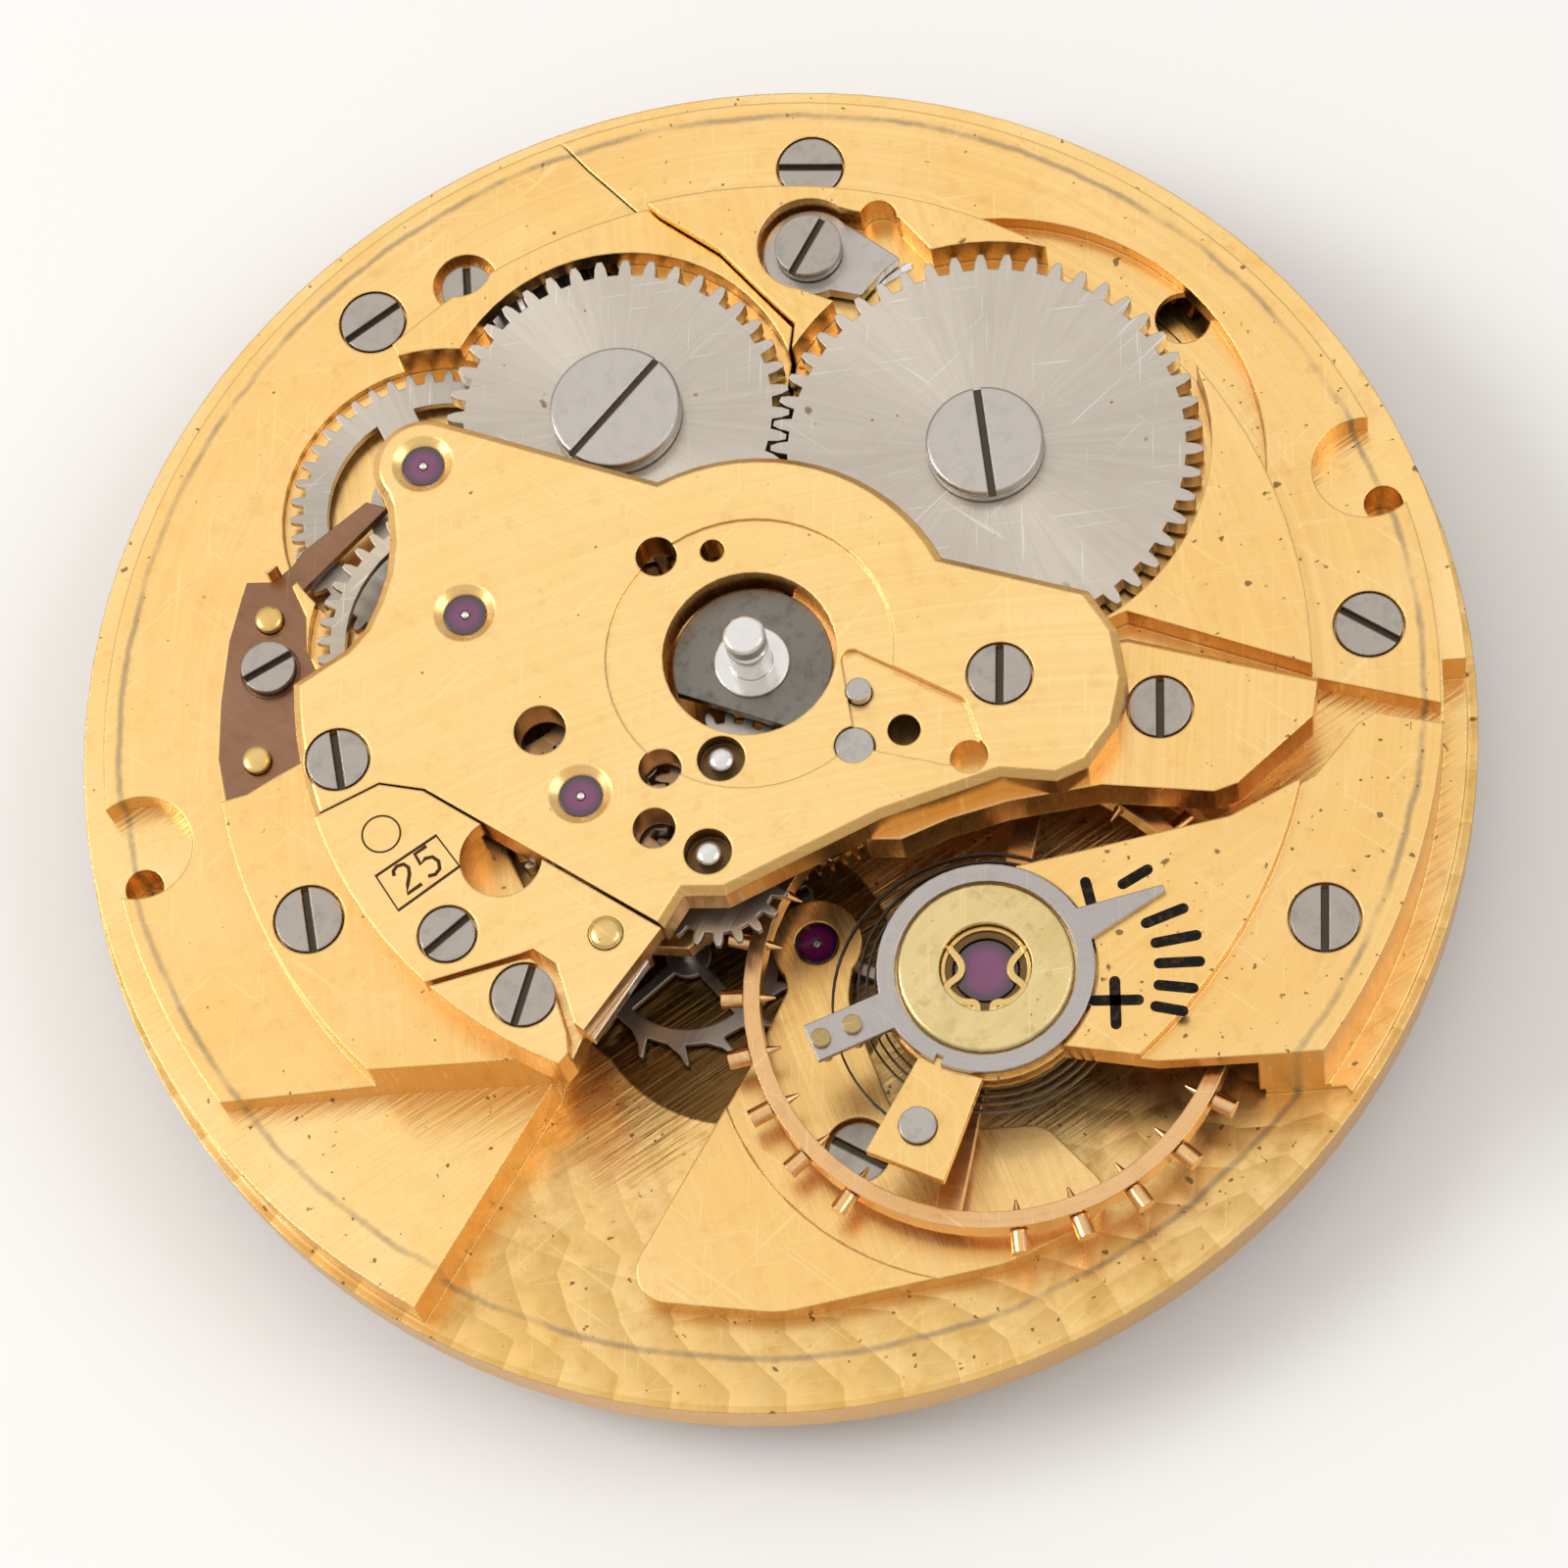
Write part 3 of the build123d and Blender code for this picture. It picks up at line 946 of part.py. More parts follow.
with BuildPart() as ratchet_screw:
    wheel_screw(BARREL, RATCHET_HEAD_R, RATCHET_TOP + FIT, RATCHET_SHANK_R,
                RATCHET_SCREW_FOOT + RUN, RATCHET_SLOT_TURN)
save(ratchet_screw, "ratchet_screw")

with BuildPart() as crown_wheel:
    gear(CROWN, CROWN_TEETH, CROWN_PITCH, CROWN_PHASE, RATCHET_FOOT, RATCHET_TOP)
    column(CROWN, CROWN_CORE_R + RUN, RATCHET_FOOT, RATCHET_TOP, Mode.SUBTRACT)
save(crown_wheel, "crown_wheel")

with BuildPart() as crown_screw:
    wheel_screw(CROWN, CROWN_HEAD_R, CROWN_BOSS_TOP, CROWN_SHANK_R, PLATE_TOP + PLAY,
                CROWN_SLOT_TURN)
save(crown_screw, "crown_wheel_screw")

CLICK_RING_R = 0.88
CLICK_TOP = 3.12
CLICK_FOOT = 2.84
CLICK_BEAK_SHARES = [
    (0.4, 0.64), (0.4357, 0.5903), (0.4744, 0.5117), (0.4449, 0.5042), (0.399, 0.484),
    (0.325, 0.545), (0.363, 0.583),
]
CLICK_HEAD_R = 0.63

with BuildPart() as click:
    column(CLICK, CLICK_RING_R, CLICK_FOOT, CLICK_TOP)
    slab(spots(CLICK_BEAK_SHARES), CLICK_FOOT, CLICK_TOP)
    column(CLICK, CLICK_SHANK_R + RUN, CLICK_FOOT, CLICK_TOP, Mode.SUBTRACT)
save(click, "click")

SPRING_WIRE = 0.16
CLICK_SPRING_PATH_SHARES = [(0.38, 0.525), (0.435, 0.5), (0.485, 0.505)]

with BuildPart() as click_spring:
    path = spots(CLICK_SPRING_PATH_SHARES)
    for start, end in zip(path, path[1:]):
        bar(start, end, SPRING_WIRE, WHEEL_SEAT, CLICK_FOOT - RUN)
save(click_spring, "click_spring")

# Going train: each wheel sits on its pinion
SECONDS_ARBOR_R = 0.13
CENTRE_BORE_R = SECONDS_ARBOR_R + RUN
CENTRE_SHANK_R = 0.32
CENTRE_SHANK_REACH = 1.3
SECONDS_REACH = 1.75
HUB_MARGIN = 0.25
WHEEL_RIM = 0.3
TRAIN_ARMS = 4
TRAIN_ARM_WIDTH = 0.24


def wheel_windows(place, teeth, pitch_radius, hub, arms, arm_width, turn, bottom, top):
    module = 2 * pitch_radius / teeth
    outer = pitch_radius - DEDENDUM_SHARE * module - WHEEL_RIM
    spoke_gaps(place, hub + HUB_MARGIN, outer, arms, arm_width, turn, bottom, top)


with BuildPart() as centre_wheel:
    gear(CENTRE, CENTRE_TEETH, CENTRE_PITCH, CENTRE_PHASE, CENTRE_WHEEL_FOOT, CENTRE_WHEEL_TOP)
    wheel_windows(CENTRE, CENTRE_TEETH, CENTRE_PITCH, CENTRE_PINION_PITCH, TRAIN_ARMS,
                  TRAIN_ARM_WIDTH, 20, CENTRE_WHEEL_FOOT, CENTRE_WHEEL_TOP)
    gear(CENTRE, CENTRE_PINION_TEETH, CENTRE_PINION_PITCH, CENTRE_PINION_PHASE,
         CENTRE_PINION_FOOT, CENTRE_WHEEL_FOOT)
    column(CENTRE, CENTRE_HUB_R, DIAL_RECESS, CENTRE_PINION_FOOT)
    column(CENTRE, CENTRE_SHANK_R, -CENTRE_SHANK_REACH, DIAL_RECESS)
    column(CENTRE, CENTRE_BORE_R, -CENTRE_SHANK_REACH, CENTRE_WHEEL_TOP, Mode.SUBTRACT)
save(centre_wheel, "centre_wheel")

with BuildPart() as third_wheel:
    gear(THIRD, THIRD_TEETH, THIRD_PITCH, THIRD_PHASE, THIRD_WHEEL_FOOT, THIRD_WHEEL_TOP)
    wheel_windows(THIRD, THIRD_TEETH, THIRD_PITCH, THIRD_PINION_PITCH, TRAIN_ARMS,
                  TRAIN_ARM_WIDTH, 35, THIRD_WHEEL_FOOT, THIRD_WHEEL_TOP)
    gear(THIRD, THIRD_PINION_TEETH, THIRD_PINION_PITCH, THIRD_PINION_PHASE,
         THIRD_PINION_FOOT, THIRD_WHEEL_FOOT)
    column(THIRD, PIVOT_R, THIRD_PINION_FOOT - PLAY - PIVOT_DEPTH + RUN, THIRD_PINION_FOOT)
    column(THIRD, PIVOT_R, THIRD_WHEEL_TOP, PLATE_TOP + PIVOT_DEPTH)
save(third_wheel, "third_wheel")

with BuildPart() as fourth_wheel:
    gear(FOURTH, FOURTH_TEETH, FOURTH_PITCH, FOURTH_PHASE, FOURTH_WHEEL_FOOT, FOURTH_WHEEL_TOP)
    wheel_windows(FOURTH, FOURTH_TEETH, FOURTH_PITCH, FOURTH_PINION_PITCH, TRAIN_ARMS,
                  TRAIN_ARM_WIDTH, 10, FOURTH_WHEEL_FOOT, FOURTH_WHEEL_TOP)
    gear(FOURTH, FOURTH_PINION_TEETH, FOURTH_PINION_PITCH, FOURTH_PINION_PHASE,
         FOURTH_PINION_FOOT, FOURTH_WHEEL_FOOT)
    arbor(FOURTH, [
        (PIVOT_R, THIRD_PINION_FOOT - PLAY - PIVOT_DEPTH + RUN, THIRD_PINION_FOOT),
        (ARBOR_R, THIRD_PINION_FOOT, FOURTH_PINION_FOOT),
        (PIVOT_R, FOURTH_WHEEL_TOP, FOURTH_ROOF + PIVOT_DEPTH),
    ])
save(fourth_wheel, "fourth_wheel")

# Sweep seconds pinion: its long arbor runs down through the centre wheel
with BuildPart() as seconds_pinion:
    gear(CENTRE, FOURTH_PINION_TEETH, FOURTH_PINION_PITCH, SECONDS_PHASE,
         FOURTH_PINION_FOOT, SECONDS_ROOF - PLAY)
    column(CENTRE, SECONDS_ARBOR_R, -SECONDS_REACH, FOURTH_PINION_FOOT)
    column(CENTRE, PIVOT_R, SECONDS_ROOF - PLAY, SECONDS_ROOF + PIVOT_DEPTH)
save(seconds_pinion, "seconds_pinion")

# Escape wheel: club teeth leaning forward, on a long pinion
ESCAPE_ROOT_SHARE = 0.82
ESCAPE_BACK_SHARE = 0.9
ESCAPE_HUB_R = 0.42
ESCAPE_ARM_WIDTH = 0.2
ESCAPE_PHASE = heading(ESCAPE, PALLET) + 180 / ESCAPE_TEETH / 2


def escape_points():
    step = 360 / ESCAPE_TEETH
    root = ESCAPE_TIP_R * ESCAPE_ROOT_SHARE
    points = []
    for tooth in range(ESCAPE_TEETH):
        start = ESCAPE_PHASE + tooth * step
        points.append(polar(ESCAPE, root, start - step * 0.46))
        points.append(polar(ESCAPE, ESCAPE_TIP_R * ESCAPE_BACK_SHARE, start - step * 0.12))
        points.append(polar(ESCAPE, ESCAPE_TIP_R, start + step * 0.04))
        points.append(polar(ESCAPE, ESCAPE_TIP_R, start + step * 0.12))
        points.append(polar(ESCAPE, root, start + step * 0.02))
    return points


with BuildPart() as escape_wheel:
    slab(escape_points(), ESCAPE_WHEEL_FOOT, ESCAPE_WHEEL_TOP)
    spoke_gaps(ESCAPE, ESCAPE_HUB_R, ESCAPE_TIP_R * ESCAPE_ROOT_SHARE - WHEEL_RIM, TRAIN_ARMS,
               ESCAPE_ARM_WIDTH, 15, ESCAPE_WHEEL_FOOT, ESCAPE_WHEEL_TOP)
    arbor(ESCAPE, [
        (PIVOT_R, ESCAPE_FLOOR - PIVOT_DEPTH + RUN, ESCAPE_FLOOR + RUN),
        (ARBOR_R, ESCAPE_FLOOR + RUN, ESCAPE_PINION_FOOT),
        (PIVOT_R, ESCAPE_PINION_TOP, ESCAPE_ROOF + PIVOT_DEPTH),
    ])
    gear(ESCAPE, ESCAPE_PINION_TEETH, ESCAPE_PINION_PITCH, ESCAPE_PINION_PHASE,
         ESCAPE_PINION_FOOT, ESCAPE_PINION_TOP)
save(escape_wheel, "escape_wheel")

# Pallet fork: two arms with stones at the escape wheel, a lever towards the balance
FORK_HUB_R = 0.3
FORK_ARM_WIDTH = 0.24
LEVER_WIDTH = 0.22
HORN_WIDTH = 0.42
HORN_LENGTH = 0.4
NOTCH_WIDTH = 0.26
STONE_WIDTH = 0.14
STONE_LENGTH = 0.34
IMPULSE_REACH = 0.62
IMPULSE_R = 0.09
ESCAPE_LINE = heading(ESCAPE, PALLET)
STONE_PLACES = [
    polar(ESCAPE, ESCAPE_TIP_R + RUN + STONE_LENGTH / 2, ESCAPE_LINE + turn) for turn in (-30, 30)
]


def turned_rectangle(place, length, width, turn, bottom, top, mode=Mode.ADD):
    with BuildSketch(Plane.XY.offset(bottom)) as outline:
        with Locations(Location((*place, 0), (0, 0, turn))):
            Rectangle(length, width)
    block(outline, top - bottom, mode)


LEVER_LINE = heading(PALLET, BALANCE)
LEVER_TIP = distance(PALLET, BALANCE) - IMPULSE_REACH + NOTCH_WIDTH / 2

with BuildPart() as pallet_fork:
    column(PALLET, FORK_HUB_R, FORK_FOOT, FORK_TOP)
    for place, turn in zip(STONE_PLACES, (-30, 30)):
        reach = polar(ESCAPE, ESCAPE_TIP_R + STONE_LENGTH, ESCAPE_LINE + turn)
        bar(PALLET, reach, FORK_ARM_WIDTH, FORK_FOOT, FORK_TOP)
        turned_rectangle(place, STONE_LENGTH + 2 * FIT, STONE_WIDTH + 2 * FIT, ESCAPE_LINE + turn,
                         FORK_FOOT, FORK_TOP, Mode.SUBTRACT)
    bar(PALLET, polar(PALLET, LEVER_TIP - HORN_LENGTH, LEVER_LINE), LEVER_WIDTH, FORK_FOOT, FORK_TOP)
    turned_rectangle(polar(PALLET, LEVER_TIP - HORN_LENGTH / 2, LEVER_LINE), HORN_LENGTH,
                     HORN_WIDTH, LEVER_LINE, FORK_FOOT, FORK_TOP)
    turned_rectangle(polar(PALLET, LEVER_TIP, LEVER_LINE), HORN_LENGTH, NOTCH_WIDTH,
                     LEVER_LINE, FORK_FOOT, FORK_TOP, Mode.SUBTRACT)
    arbor(PALLET, [
        (PIVOT_R, ESCAPE_FLOOR - PIVOT_DEPTH + RUN, ESCAPE_FLOOR + RUN),
        (ARBOR_R, ESCAPE_FLOOR + RUN, PALLET_TURNED_TOP - JEWEL_HEIGHT - RUN),
        (PIVOT_R, PALLET_TURNED_TOP - JEWEL_HEIGHT - RUN, PALLET_TURNED_TOP),
    ])
save(pallet_fork, "pallet_fork")

with BuildPart() as pallet_stones:
    for place, turn in zip(STONE_PLACES, (-30, 30)):
        turned_rectangle(place, STONE_LENGTH, STONE_WIDTH, ESCAPE_LINE + turn,
                         FORK_FOOT + FIT, FORK_TOP - FIT)
save(pallet_stones, "pallet_stones")

# Balance: one-bar rim with timing screws, staff, roller and impulse jewel
BALANCE_R = 4.43
BALANCE_RIM = 0.3
BALANCE_ARM_WIDTH = 0.46
BALANCE_ARM_TOP = 2.16
BALANCE_HUB_R = 0.55
BALANCE_ARM_TURN = 52.4
TIMING_SCREWS = 11
TIMING_FIRST = 17.3
TIMING_STEP = 13.97
TIMING_HEAD_R = 0.17
TIMING_HEAD_LENGTH = 0.4
TIMING_SHANK_R = 0.09
TIMING_TIP = 0.26
STAFF_R = 0.2
STAFF_HUB_R = 0.32
ROLLER_R = 0.85
ROLLER_FOOT = 1.0
ROLLER_TOP = 1.14
COLLET_R = 0.42
STAFF_FOOT = 0.34
STAFF_TOP = 3.1

with BuildPart() as balance_wheel:
    column(BALANCE, BALANCE_R, BALANCE_FOOT, BALANCE_TOP)
    column(BALANCE, BALANCE_R - BALANCE_RIM, BALANCE_FOOT, BALANCE_TOP, Mode.SUBTRACT)
    turned_rectangle(BALANCE, 2 * (BALANCE_R - BALANCE_RIM / 2), BALANCE_ARM_WIDTH,
                     BALANCE_ARM_TURN, BALANCE_FOOT, BALANCE_ARM_TOP)
    column(BALANCE, BALANCE_HUB_R, BALANCE_FOOT, BALANCE_ARM_TOP)
    column(BALANCE, STAFF_HUB_R + FIT, BALANCE_FOOT, BALANCE_TOP, Mode.SUBTRACT)
    timing_level = (BALANCE_FOOT + BALANCE_TOP) / 2
    timing_turns = [
        BALANCE_ARM_TURN + half + TIMING_FIRST + step * TIMING_STEP
        for half in (0, 180) for step in range(TIMING_SCREWS)
    ]
    for turn in timing_turns:
        rim_place = polar(BALANCE, BALANCE_R - BALANCE_RIM, turn)
        with Locations(Location((*rim_place, timing_level), (-90, 90 - turn, 0))):
            Cylinder(TIMING_SHANK_R + FIT, BALANCE_RIM,
                     align=(Align.CENTER, Align.CENTER, Align.MIN), mode=Mode.SUBTRACT)
save(balance_wheel, "balance_wheel")

with BuildPart() as timing_screws:
    for turn in timing_turns:
        tip_place = polar(BALANCE, BALANCE_R - BALANCE_RIM - TIMING_TIP, turn)
        rim_place = polar(BALANCE, BALANCE_R - BALANCE_RIM, turn)
        head_place = polar(BALANCE, BALANCE_R + FIT, turn)
        with Locations(Location((*tip_place, timing_level), (-90, 90 - turn, 0))):
            Cone(TIMING_SHANK_R / 4, TIMING_SHANK_R, TIMING_TIP,
                 align=(Align.CENTER, Align.CENTER, Align.MIN))
        with Locations(Location((*rim_place, timing_level), (-90, 90 - turn, 0))):
            Cylinder(TIMING_SHANK_R, BALANCE_RIM + FIT,
                     align=(Align.CENTER, Align.CENTER, Align.MIN))
        with Locations(Location((*head_place, timing_level), (-90, 90 - turn, 0))):
            Cylinder(TIMING_HEAD_R, TIMING_HEAD_LENGTH,
                     align=(Align.CENTER, Align.CENTER, Align.MIN))
save(timing_screws, "timing_screws")

with BuildPart() as balance_staff:
    arbor(BALANCE, [
        (PIVOT_R, STAFF_FOOT, ROLLER_FOOT - PLAY),
        (STAFF_R, ROLLER_FOOT - PLAY, ROLLER_TOP),
        (STAFF_HUB_R, ROLLER_TOP, BALANCE_ARM_TOP + PLAY),
        (STAFF_R, BALANCE_ARM_TOP + PLAY, BALANCE_TOP + PLAY),
        (COLLET_R, BALANCE_TOP + PLAY, HAIRSPRING_LEVEL + PLAY),
        (PIVOT_R, HAIRSPRING_LEVEL + PLAY, STAFF_TOP),
    ])
save(balance_staff, "balance_staff")

with BuildPart() as roller:
    column(BALANCE, ROLLER_R, ROLLER_FOOT, ROLLER_TOP)
    column(BALANCE, STAFF_R + FIT, ROLLER_FOOT, ROLLER_TOP, Mode.SUBTRACT)
    column(polar(BALANCE, IMPULSE_REACH, LEVER_LINE + 180), IMPULSE_R, FORK_FOOT + RUN, ROLLER_FOOT)
save(roller, "roller")

# Hairspring: one flat ribbon, a spiral of half circles about two centres
SPRING_FIRST_R = 0.5
SPRING_PITCH = 0.46
SPRING_HALF_TURNS = 11
SPRING_THICK = 0.05
SPRING_HEIGHT = 0.15
SPRING_SAMPLES = 60
STUD_TURN = 220.7


def spiral_half(step):
    # Centre shift along the stud line, radius, and start turn of one half circle
    radius = SPRING_FIRST_R + step * SPRING_PITCH / 2
    centre = BALANCE if step % 2 == 0 else polar(BALANCE, SPRING_PITCH / 2, STUD_TURN + 180)
    start = STUD_TURN + 180 + 180 * (step % 2)
    return centre, radius, start


with BuildPart() as hairspring:
    with BuildLine(Plane.XY.offset(HAIRSPRING_LEVEL)) as coil:
        for step in range(SPRING_HALF_TURNS):
            centre, radius, start = spiral_half(step)
            CenterArc(centre, radius, start, 180)
    with BuildSketch(Plane(coil.line @ 0, z_dir=coil.line % 0, x_dir=(0, 0, 1))) as ribbon:
        Rectangle(SPRING_HEIGHT, SPRING_THICK)
    sweep(ribbon.sketch, path=coil.line)

def spring_points():
    # Points along the ribbon's middle line, each with its turn from the inner end
    points = []
    for step in range(SPRING_HALF_TURNS):
        centre, radius, start = spiral_half(step)
        for share in range(SPRING_SAMPLES):
            turn = 180 * share / SPRING_SAMPLES
            points.append((180 * step + turn, polar(centre, radius, start + turn)))
    return points


samples = spring_points()
least_gap = min(
    distance(first, second) for turn, first in samples for other, second in samples
    if other - turn >= 180
) - SPRING_THICK
print("hairspring: least gap to itself", round(least_gap, 3), "mm, turns", SPRING_HALF_TURNS / 2)
save(hairspring, "hairspring")

# Regulator, stud carrier and shock setting round the balance's upper bearing
REGULATOR_FOOT = 3.51
REGULATOR_TOP = 3.64
REGULATOR_TAIL_TURN = 177
REGULATOR_TAIL_REACH = 3.35
REGULATOR_TAIL_WIDTH = 0.7
REGULATOR_POINTER_TURN = -2.5
REGULATOR_POINTER_REACH = 3.45
REGULATOR_POINTER_WIDTH = 0.62
REGULATOR_POINTER_TIP = 0.12
REGULATOR_SLIT = 0.14
REGULATOR_SLIT_TURN = 217
CURB_PIN_R = 0.1
CURB_HEAD_R = 0.17
CURB_PIN_REACHES = (2.55, 3.15)
CURB_PIN_FOOT = 2.62
CURB_PIN_TOP = 3.74
SHOCK_R = 1.57
SHOCK_TOP = 3.68
SHOCK_BUSH_R = 0.93
SHOCK_BUSH_FOOT = 2.95
SHOCK_WELL_R = 0.82
SHOCK_HOLE_R = 0.6
SHOCK_WELL_FLOOR = 3.46
CAP_JEWEL_R = 0.56
CAP_JEWEL_FOOT = 3.2
CAP_JEWEL_TOP = 3.44
LYRE_R = 0.78
LYRE_WIDTH = 0.1
LYRE_HEIGHT = 0.05
LYRE_HORN_TURNS = (55, 125, 235, 305)
STUD_TOP = 3.6
STUD_R = 0.33
STUD_SHANK_R = 0.245
STUD_REACH = 3.085
STUD_SHANK_FOOT = 2.58
STUD_SHANK_TOP = 3.1

curb_pins = [polar(BALANCE, reach, REGULATOR_TAIL_TURN) for reach in CURB_PIN_REACHES]
stud_place = polar(BALANCE, STUD_REACH, STUD_TURN)

with BuildPart() as regulator:
    column(BALANCE, REGULATOR_R, REGULATOR_FOOT, REGULATOR_TOP)
    tail_middle = polar(BALANCE, REGULATOR_TAIL_REACH / 2, REGULATOR_TAIL_TURN)
    turned_rectangle(tail_middle, REGULATOR_TAIL_REACH, REGULATOR_TAIL_WIDTH,
                     REGULATOR_TAIL_TURN, REGULATOR_FOOT, REGULATOR_TOP)
    pointer_tip = polar(BALANCE, REGULATOR_POINTER_REACH, REGULATOR_POINTER_TURN)
    side = REGULATOR_POINTER_TURN + 90
    slab([
        polar(BALANCE, REGULATOR_POINTER_WIDTH, side),
        polar(BALANCE, -REGULATOR_POINTER_WIDTH, side),
        polar(pointer_tip, -REGULATOR_POINTER_TIP / 2, side),
        polar(pointer_tip, REGULATOR_POINTER_TIP / 2, side),
    ], REGULATOR_FOOT, REGULATOR_TOP)
    column(BALANCE, SHOCK_R + RUN, REGULATOR_FOOT, REGULATOR_TOP, Mode.SUBTRACT)
    turned_rectangle(polar(BALANCE, REGULATOR_R, REGULATOR_SLIT_TURN), 2 * REGULATOR_SLIT,
                     REGULATOR_SLIT, REGULATOR_SLIT_TURN, REGULATOR_FOOT, REGULATOR_TOP,
                     Mode.SUBTRACT)
    for place in curb_pins:
        column(place, CURB_PIN_R + FIT, REGULATOR_FOOT, REGULATOR_TOP, Mode.SUBTRACT)
save(regulator, "regulator")

with BuildPart() as regulator_pins:
    for place in curb_pins:
        column(place, CURB_PIN_R, CURB_PIN_FOOT, REGULATOR_TOP + FIT)
        column(place, CURB_HEAD_R, REGULATOR_TOP + FIT, CURB_PIN_TOP)
save(regulator_pins, "regulator_pins")

with BuildPart() as stud_carrier:
    column(BALANCE, REGULATOR_R - FIT, CARRIER_FOOT + FIT, BRIDGE_TOP - FIT)
    slab(spots(STUD_ARM_SHARES), CARRIER_FOOT + FIT, BRIDGE_TOP - FIT)
    column(BALANCE, HUB_R + RUN, CARRIER_FOOT, BRIDGE_TOP, Mode.SUBTRACT)
    column(stud_place, STUD_R + FIT, CARRIER_FOOT, BRIDGE_TOP, Mode.SUBTRACT)
save(stud_carrier, "stud_carrier")

with BuildPart() as hairspring_stud:
    column(stud_place, STUD_R, STUD_SHANK_TOP, STUD_TOP)
    column(stud_place, STUD_SHANK_R, STUD_SHANK_FOOT, STUD_SHANK_TOP)
save(hairspring_stud, "hairspring_stud")

with BuildPart() as shock_block:
    column(BALANCE, SHOCK_R, BRIDGE_TOP, SHOCK_TOP)
    chamfer(faces().sort_by(Axis.Z)[-1].edges(), WHEEL_EDGE_BEVEL)
    column(BALANCE, SHOCK_BUSH_R, SHOCK_BUSH_FOOT, BRIDGE_TOP)
    column(BALANCE, SHOCK_WELL_R, SHOCK_WELL_FLOOR, SHOCK_TOP, Mode.SUBTRACT)
    column(BALANCE, SHOCK_HOLE_R, SHOCK_BUSH_FOOT, SHOCK_TOP, Mode.SUBTRACT)
save(shock_block, "shock_block")

with BuildPart() as shock_spring:
    lyre_foot = SHOCK_WELL_FLOOR + FIT
    column(BALANCE, LYRE_R, lyre_foot, lyre_foot + LYRE_HEIGHT)
    column(BALANCE, LYRE_R - LYRE_WIDTH, lyre_foot, lyre_foot + LYRE_HEIGHT, Mode.SUBTRACT)
    for turn in LYRE_HORN_TURNS:
        bar(polar(BALANCE, LYRE_R - LYRE_WIDTH / 2, turn), polar(BALANCE, LYRE_R / 3, turn + 20),
            LYRE_WIDTH, lyre_foot, lyre_foot + LYRE_HEIGHT)
save(shock_spring, "shock_spring")

# Automatic winding wheels under the upper bridges
AUTOMATIC_ARBOR_R = 0.2
JEWEL_PIVOT_TOP = TOP_BRIDGE_TOP - COUNTERSINK_DEPTH - RUN
SLOT_ARMS = 3
SLOT_INNER_R = 1.35
SLOT_OUTER_R = 2.15
SLOT_ARM_WIDTH = 0.75
SPOKED_ARMS = 5
SPOKED_HUB_R = 0.62
SPOKED_ARM_WIDTH = 0.3
SPOKED_PINION_FOOT = 2.45
SPOKED_PINION_TOP = 2.84
DRIVING_HUB_R = 0.6


def automatic_arbor(place, floor, wheel_foot):
    shoulder = TOP_BRIDGE_TOP - COUNTERSINK_DEPTH - JEWEL_HEIGHT - RUN
    arbor(place, [
        (PIVOT_R, floor - PIVOT_DEPTH + RUN, floor + RUN),
        (AUTOMATIC_ARBOR_R, floor + RUN, wheel_foot),
        (AUTOMATIC_ARBOR_R, wheel_foot, TOP_BRIDGE_FOOT - RUN),
        (PIVOT_R, TOP_BRIDGE_FOOT - RUN, JEWEL_PIVOT_TOP),
    ])


with BuildPart() as slotted_wheel:
    gear(SLOTTED, SLOTTED_TEETH, SLOTTED_PITCH, SLOTTED_PHASE, SLOTTED_FOOT, SLOTTED_TOP)
    spoke_gaps(SLOTTED, SLOT_INNER_R, SLOT_OUTER_R, SLOT_ARMS, SLOT_ARM_WIDTH, 90,
               SLOTTED_FOOT, SLOTTED_TOP)
    gear(SLOTTED, CROWN_DRIVER_TEETH, CROWN_DRIVER_PITCH, DRIVER_PHASE, SLOTTED_TOP, RATCHET_TOP)
    automatic_arbor(SLOTTED, TRAIN_ROOF, SLOTTED_FOOT)
save(slotted_wheel, "slotted_wheel")

with BuildPart() as spoked_wheel:
    gear(SPOKED, SPOKED_TEETH, SPOKED_PITCH, SPOKED_PHASE, SPOKED_FOOT, SPOKED_TOP)
    spoke_gaps(SPOKED, SPOKED_HUB_R, SPOKED_PITCH - WHEEL_RIM - PLAY, SPOKED_ARMS,
               SPOKED_ARM_WIDTH, 30, SPOKED_FOOT, SPOKED_TOP)
    gear(SPOKED, SPOKED_PINION_TEETH, SPOKED_PINION_PITCH, SPOKED_PINION_PHASE,
         SPOKED_PINION_FOOT, SPOKED_PINION_TOP)
    automatic_arbor(SPOKED, TRAIN_ROOF, SPOKED_PINION_FOOT)
save(spoked_wheel, "spoked_wheel")

with BuildPart() as driving_gear:
    gear(DRIVING, DRIVING_TEETH, DRIVING_PITCH, DRIVING_PHASE, DRIVING_FOOT, DRIVING_TOP)
    automatic_arbor(DRIVING, TRAIN_PLATE_TOP, DRIVING_FOOT)
save(driving_gear, "driving_gear")

REVERSER_BORE_R = REVERSER_PIN_R + RUN
REVERSER_HUB_R = 0.45
REVERSER_HUB_FOOT = 3.2
REVERSER_HUB_TOP = 3.82

for number, place, phase, foot in zip(("one", "two"), REVERSERS, REVERSER_PHASES, REVERSER_FEET):
    with BuildPart() as upper:
        gear(place, REVERSER_TEETH, REVERSER_PITCH, phase, foot, foot + REVERSER_THICKNESS)
        column(place, REVERSER_HUB_R, REVERSER_HUB_FOOT, REVERSER_HUB_TOP)
        column(place, REVERSER_BORE_R, REVERSER_HUB_FOOT, REVERSER_HUB_TOP, Mode.SUBTRACT)
    save(upper, f"reverser_{number}_upper")

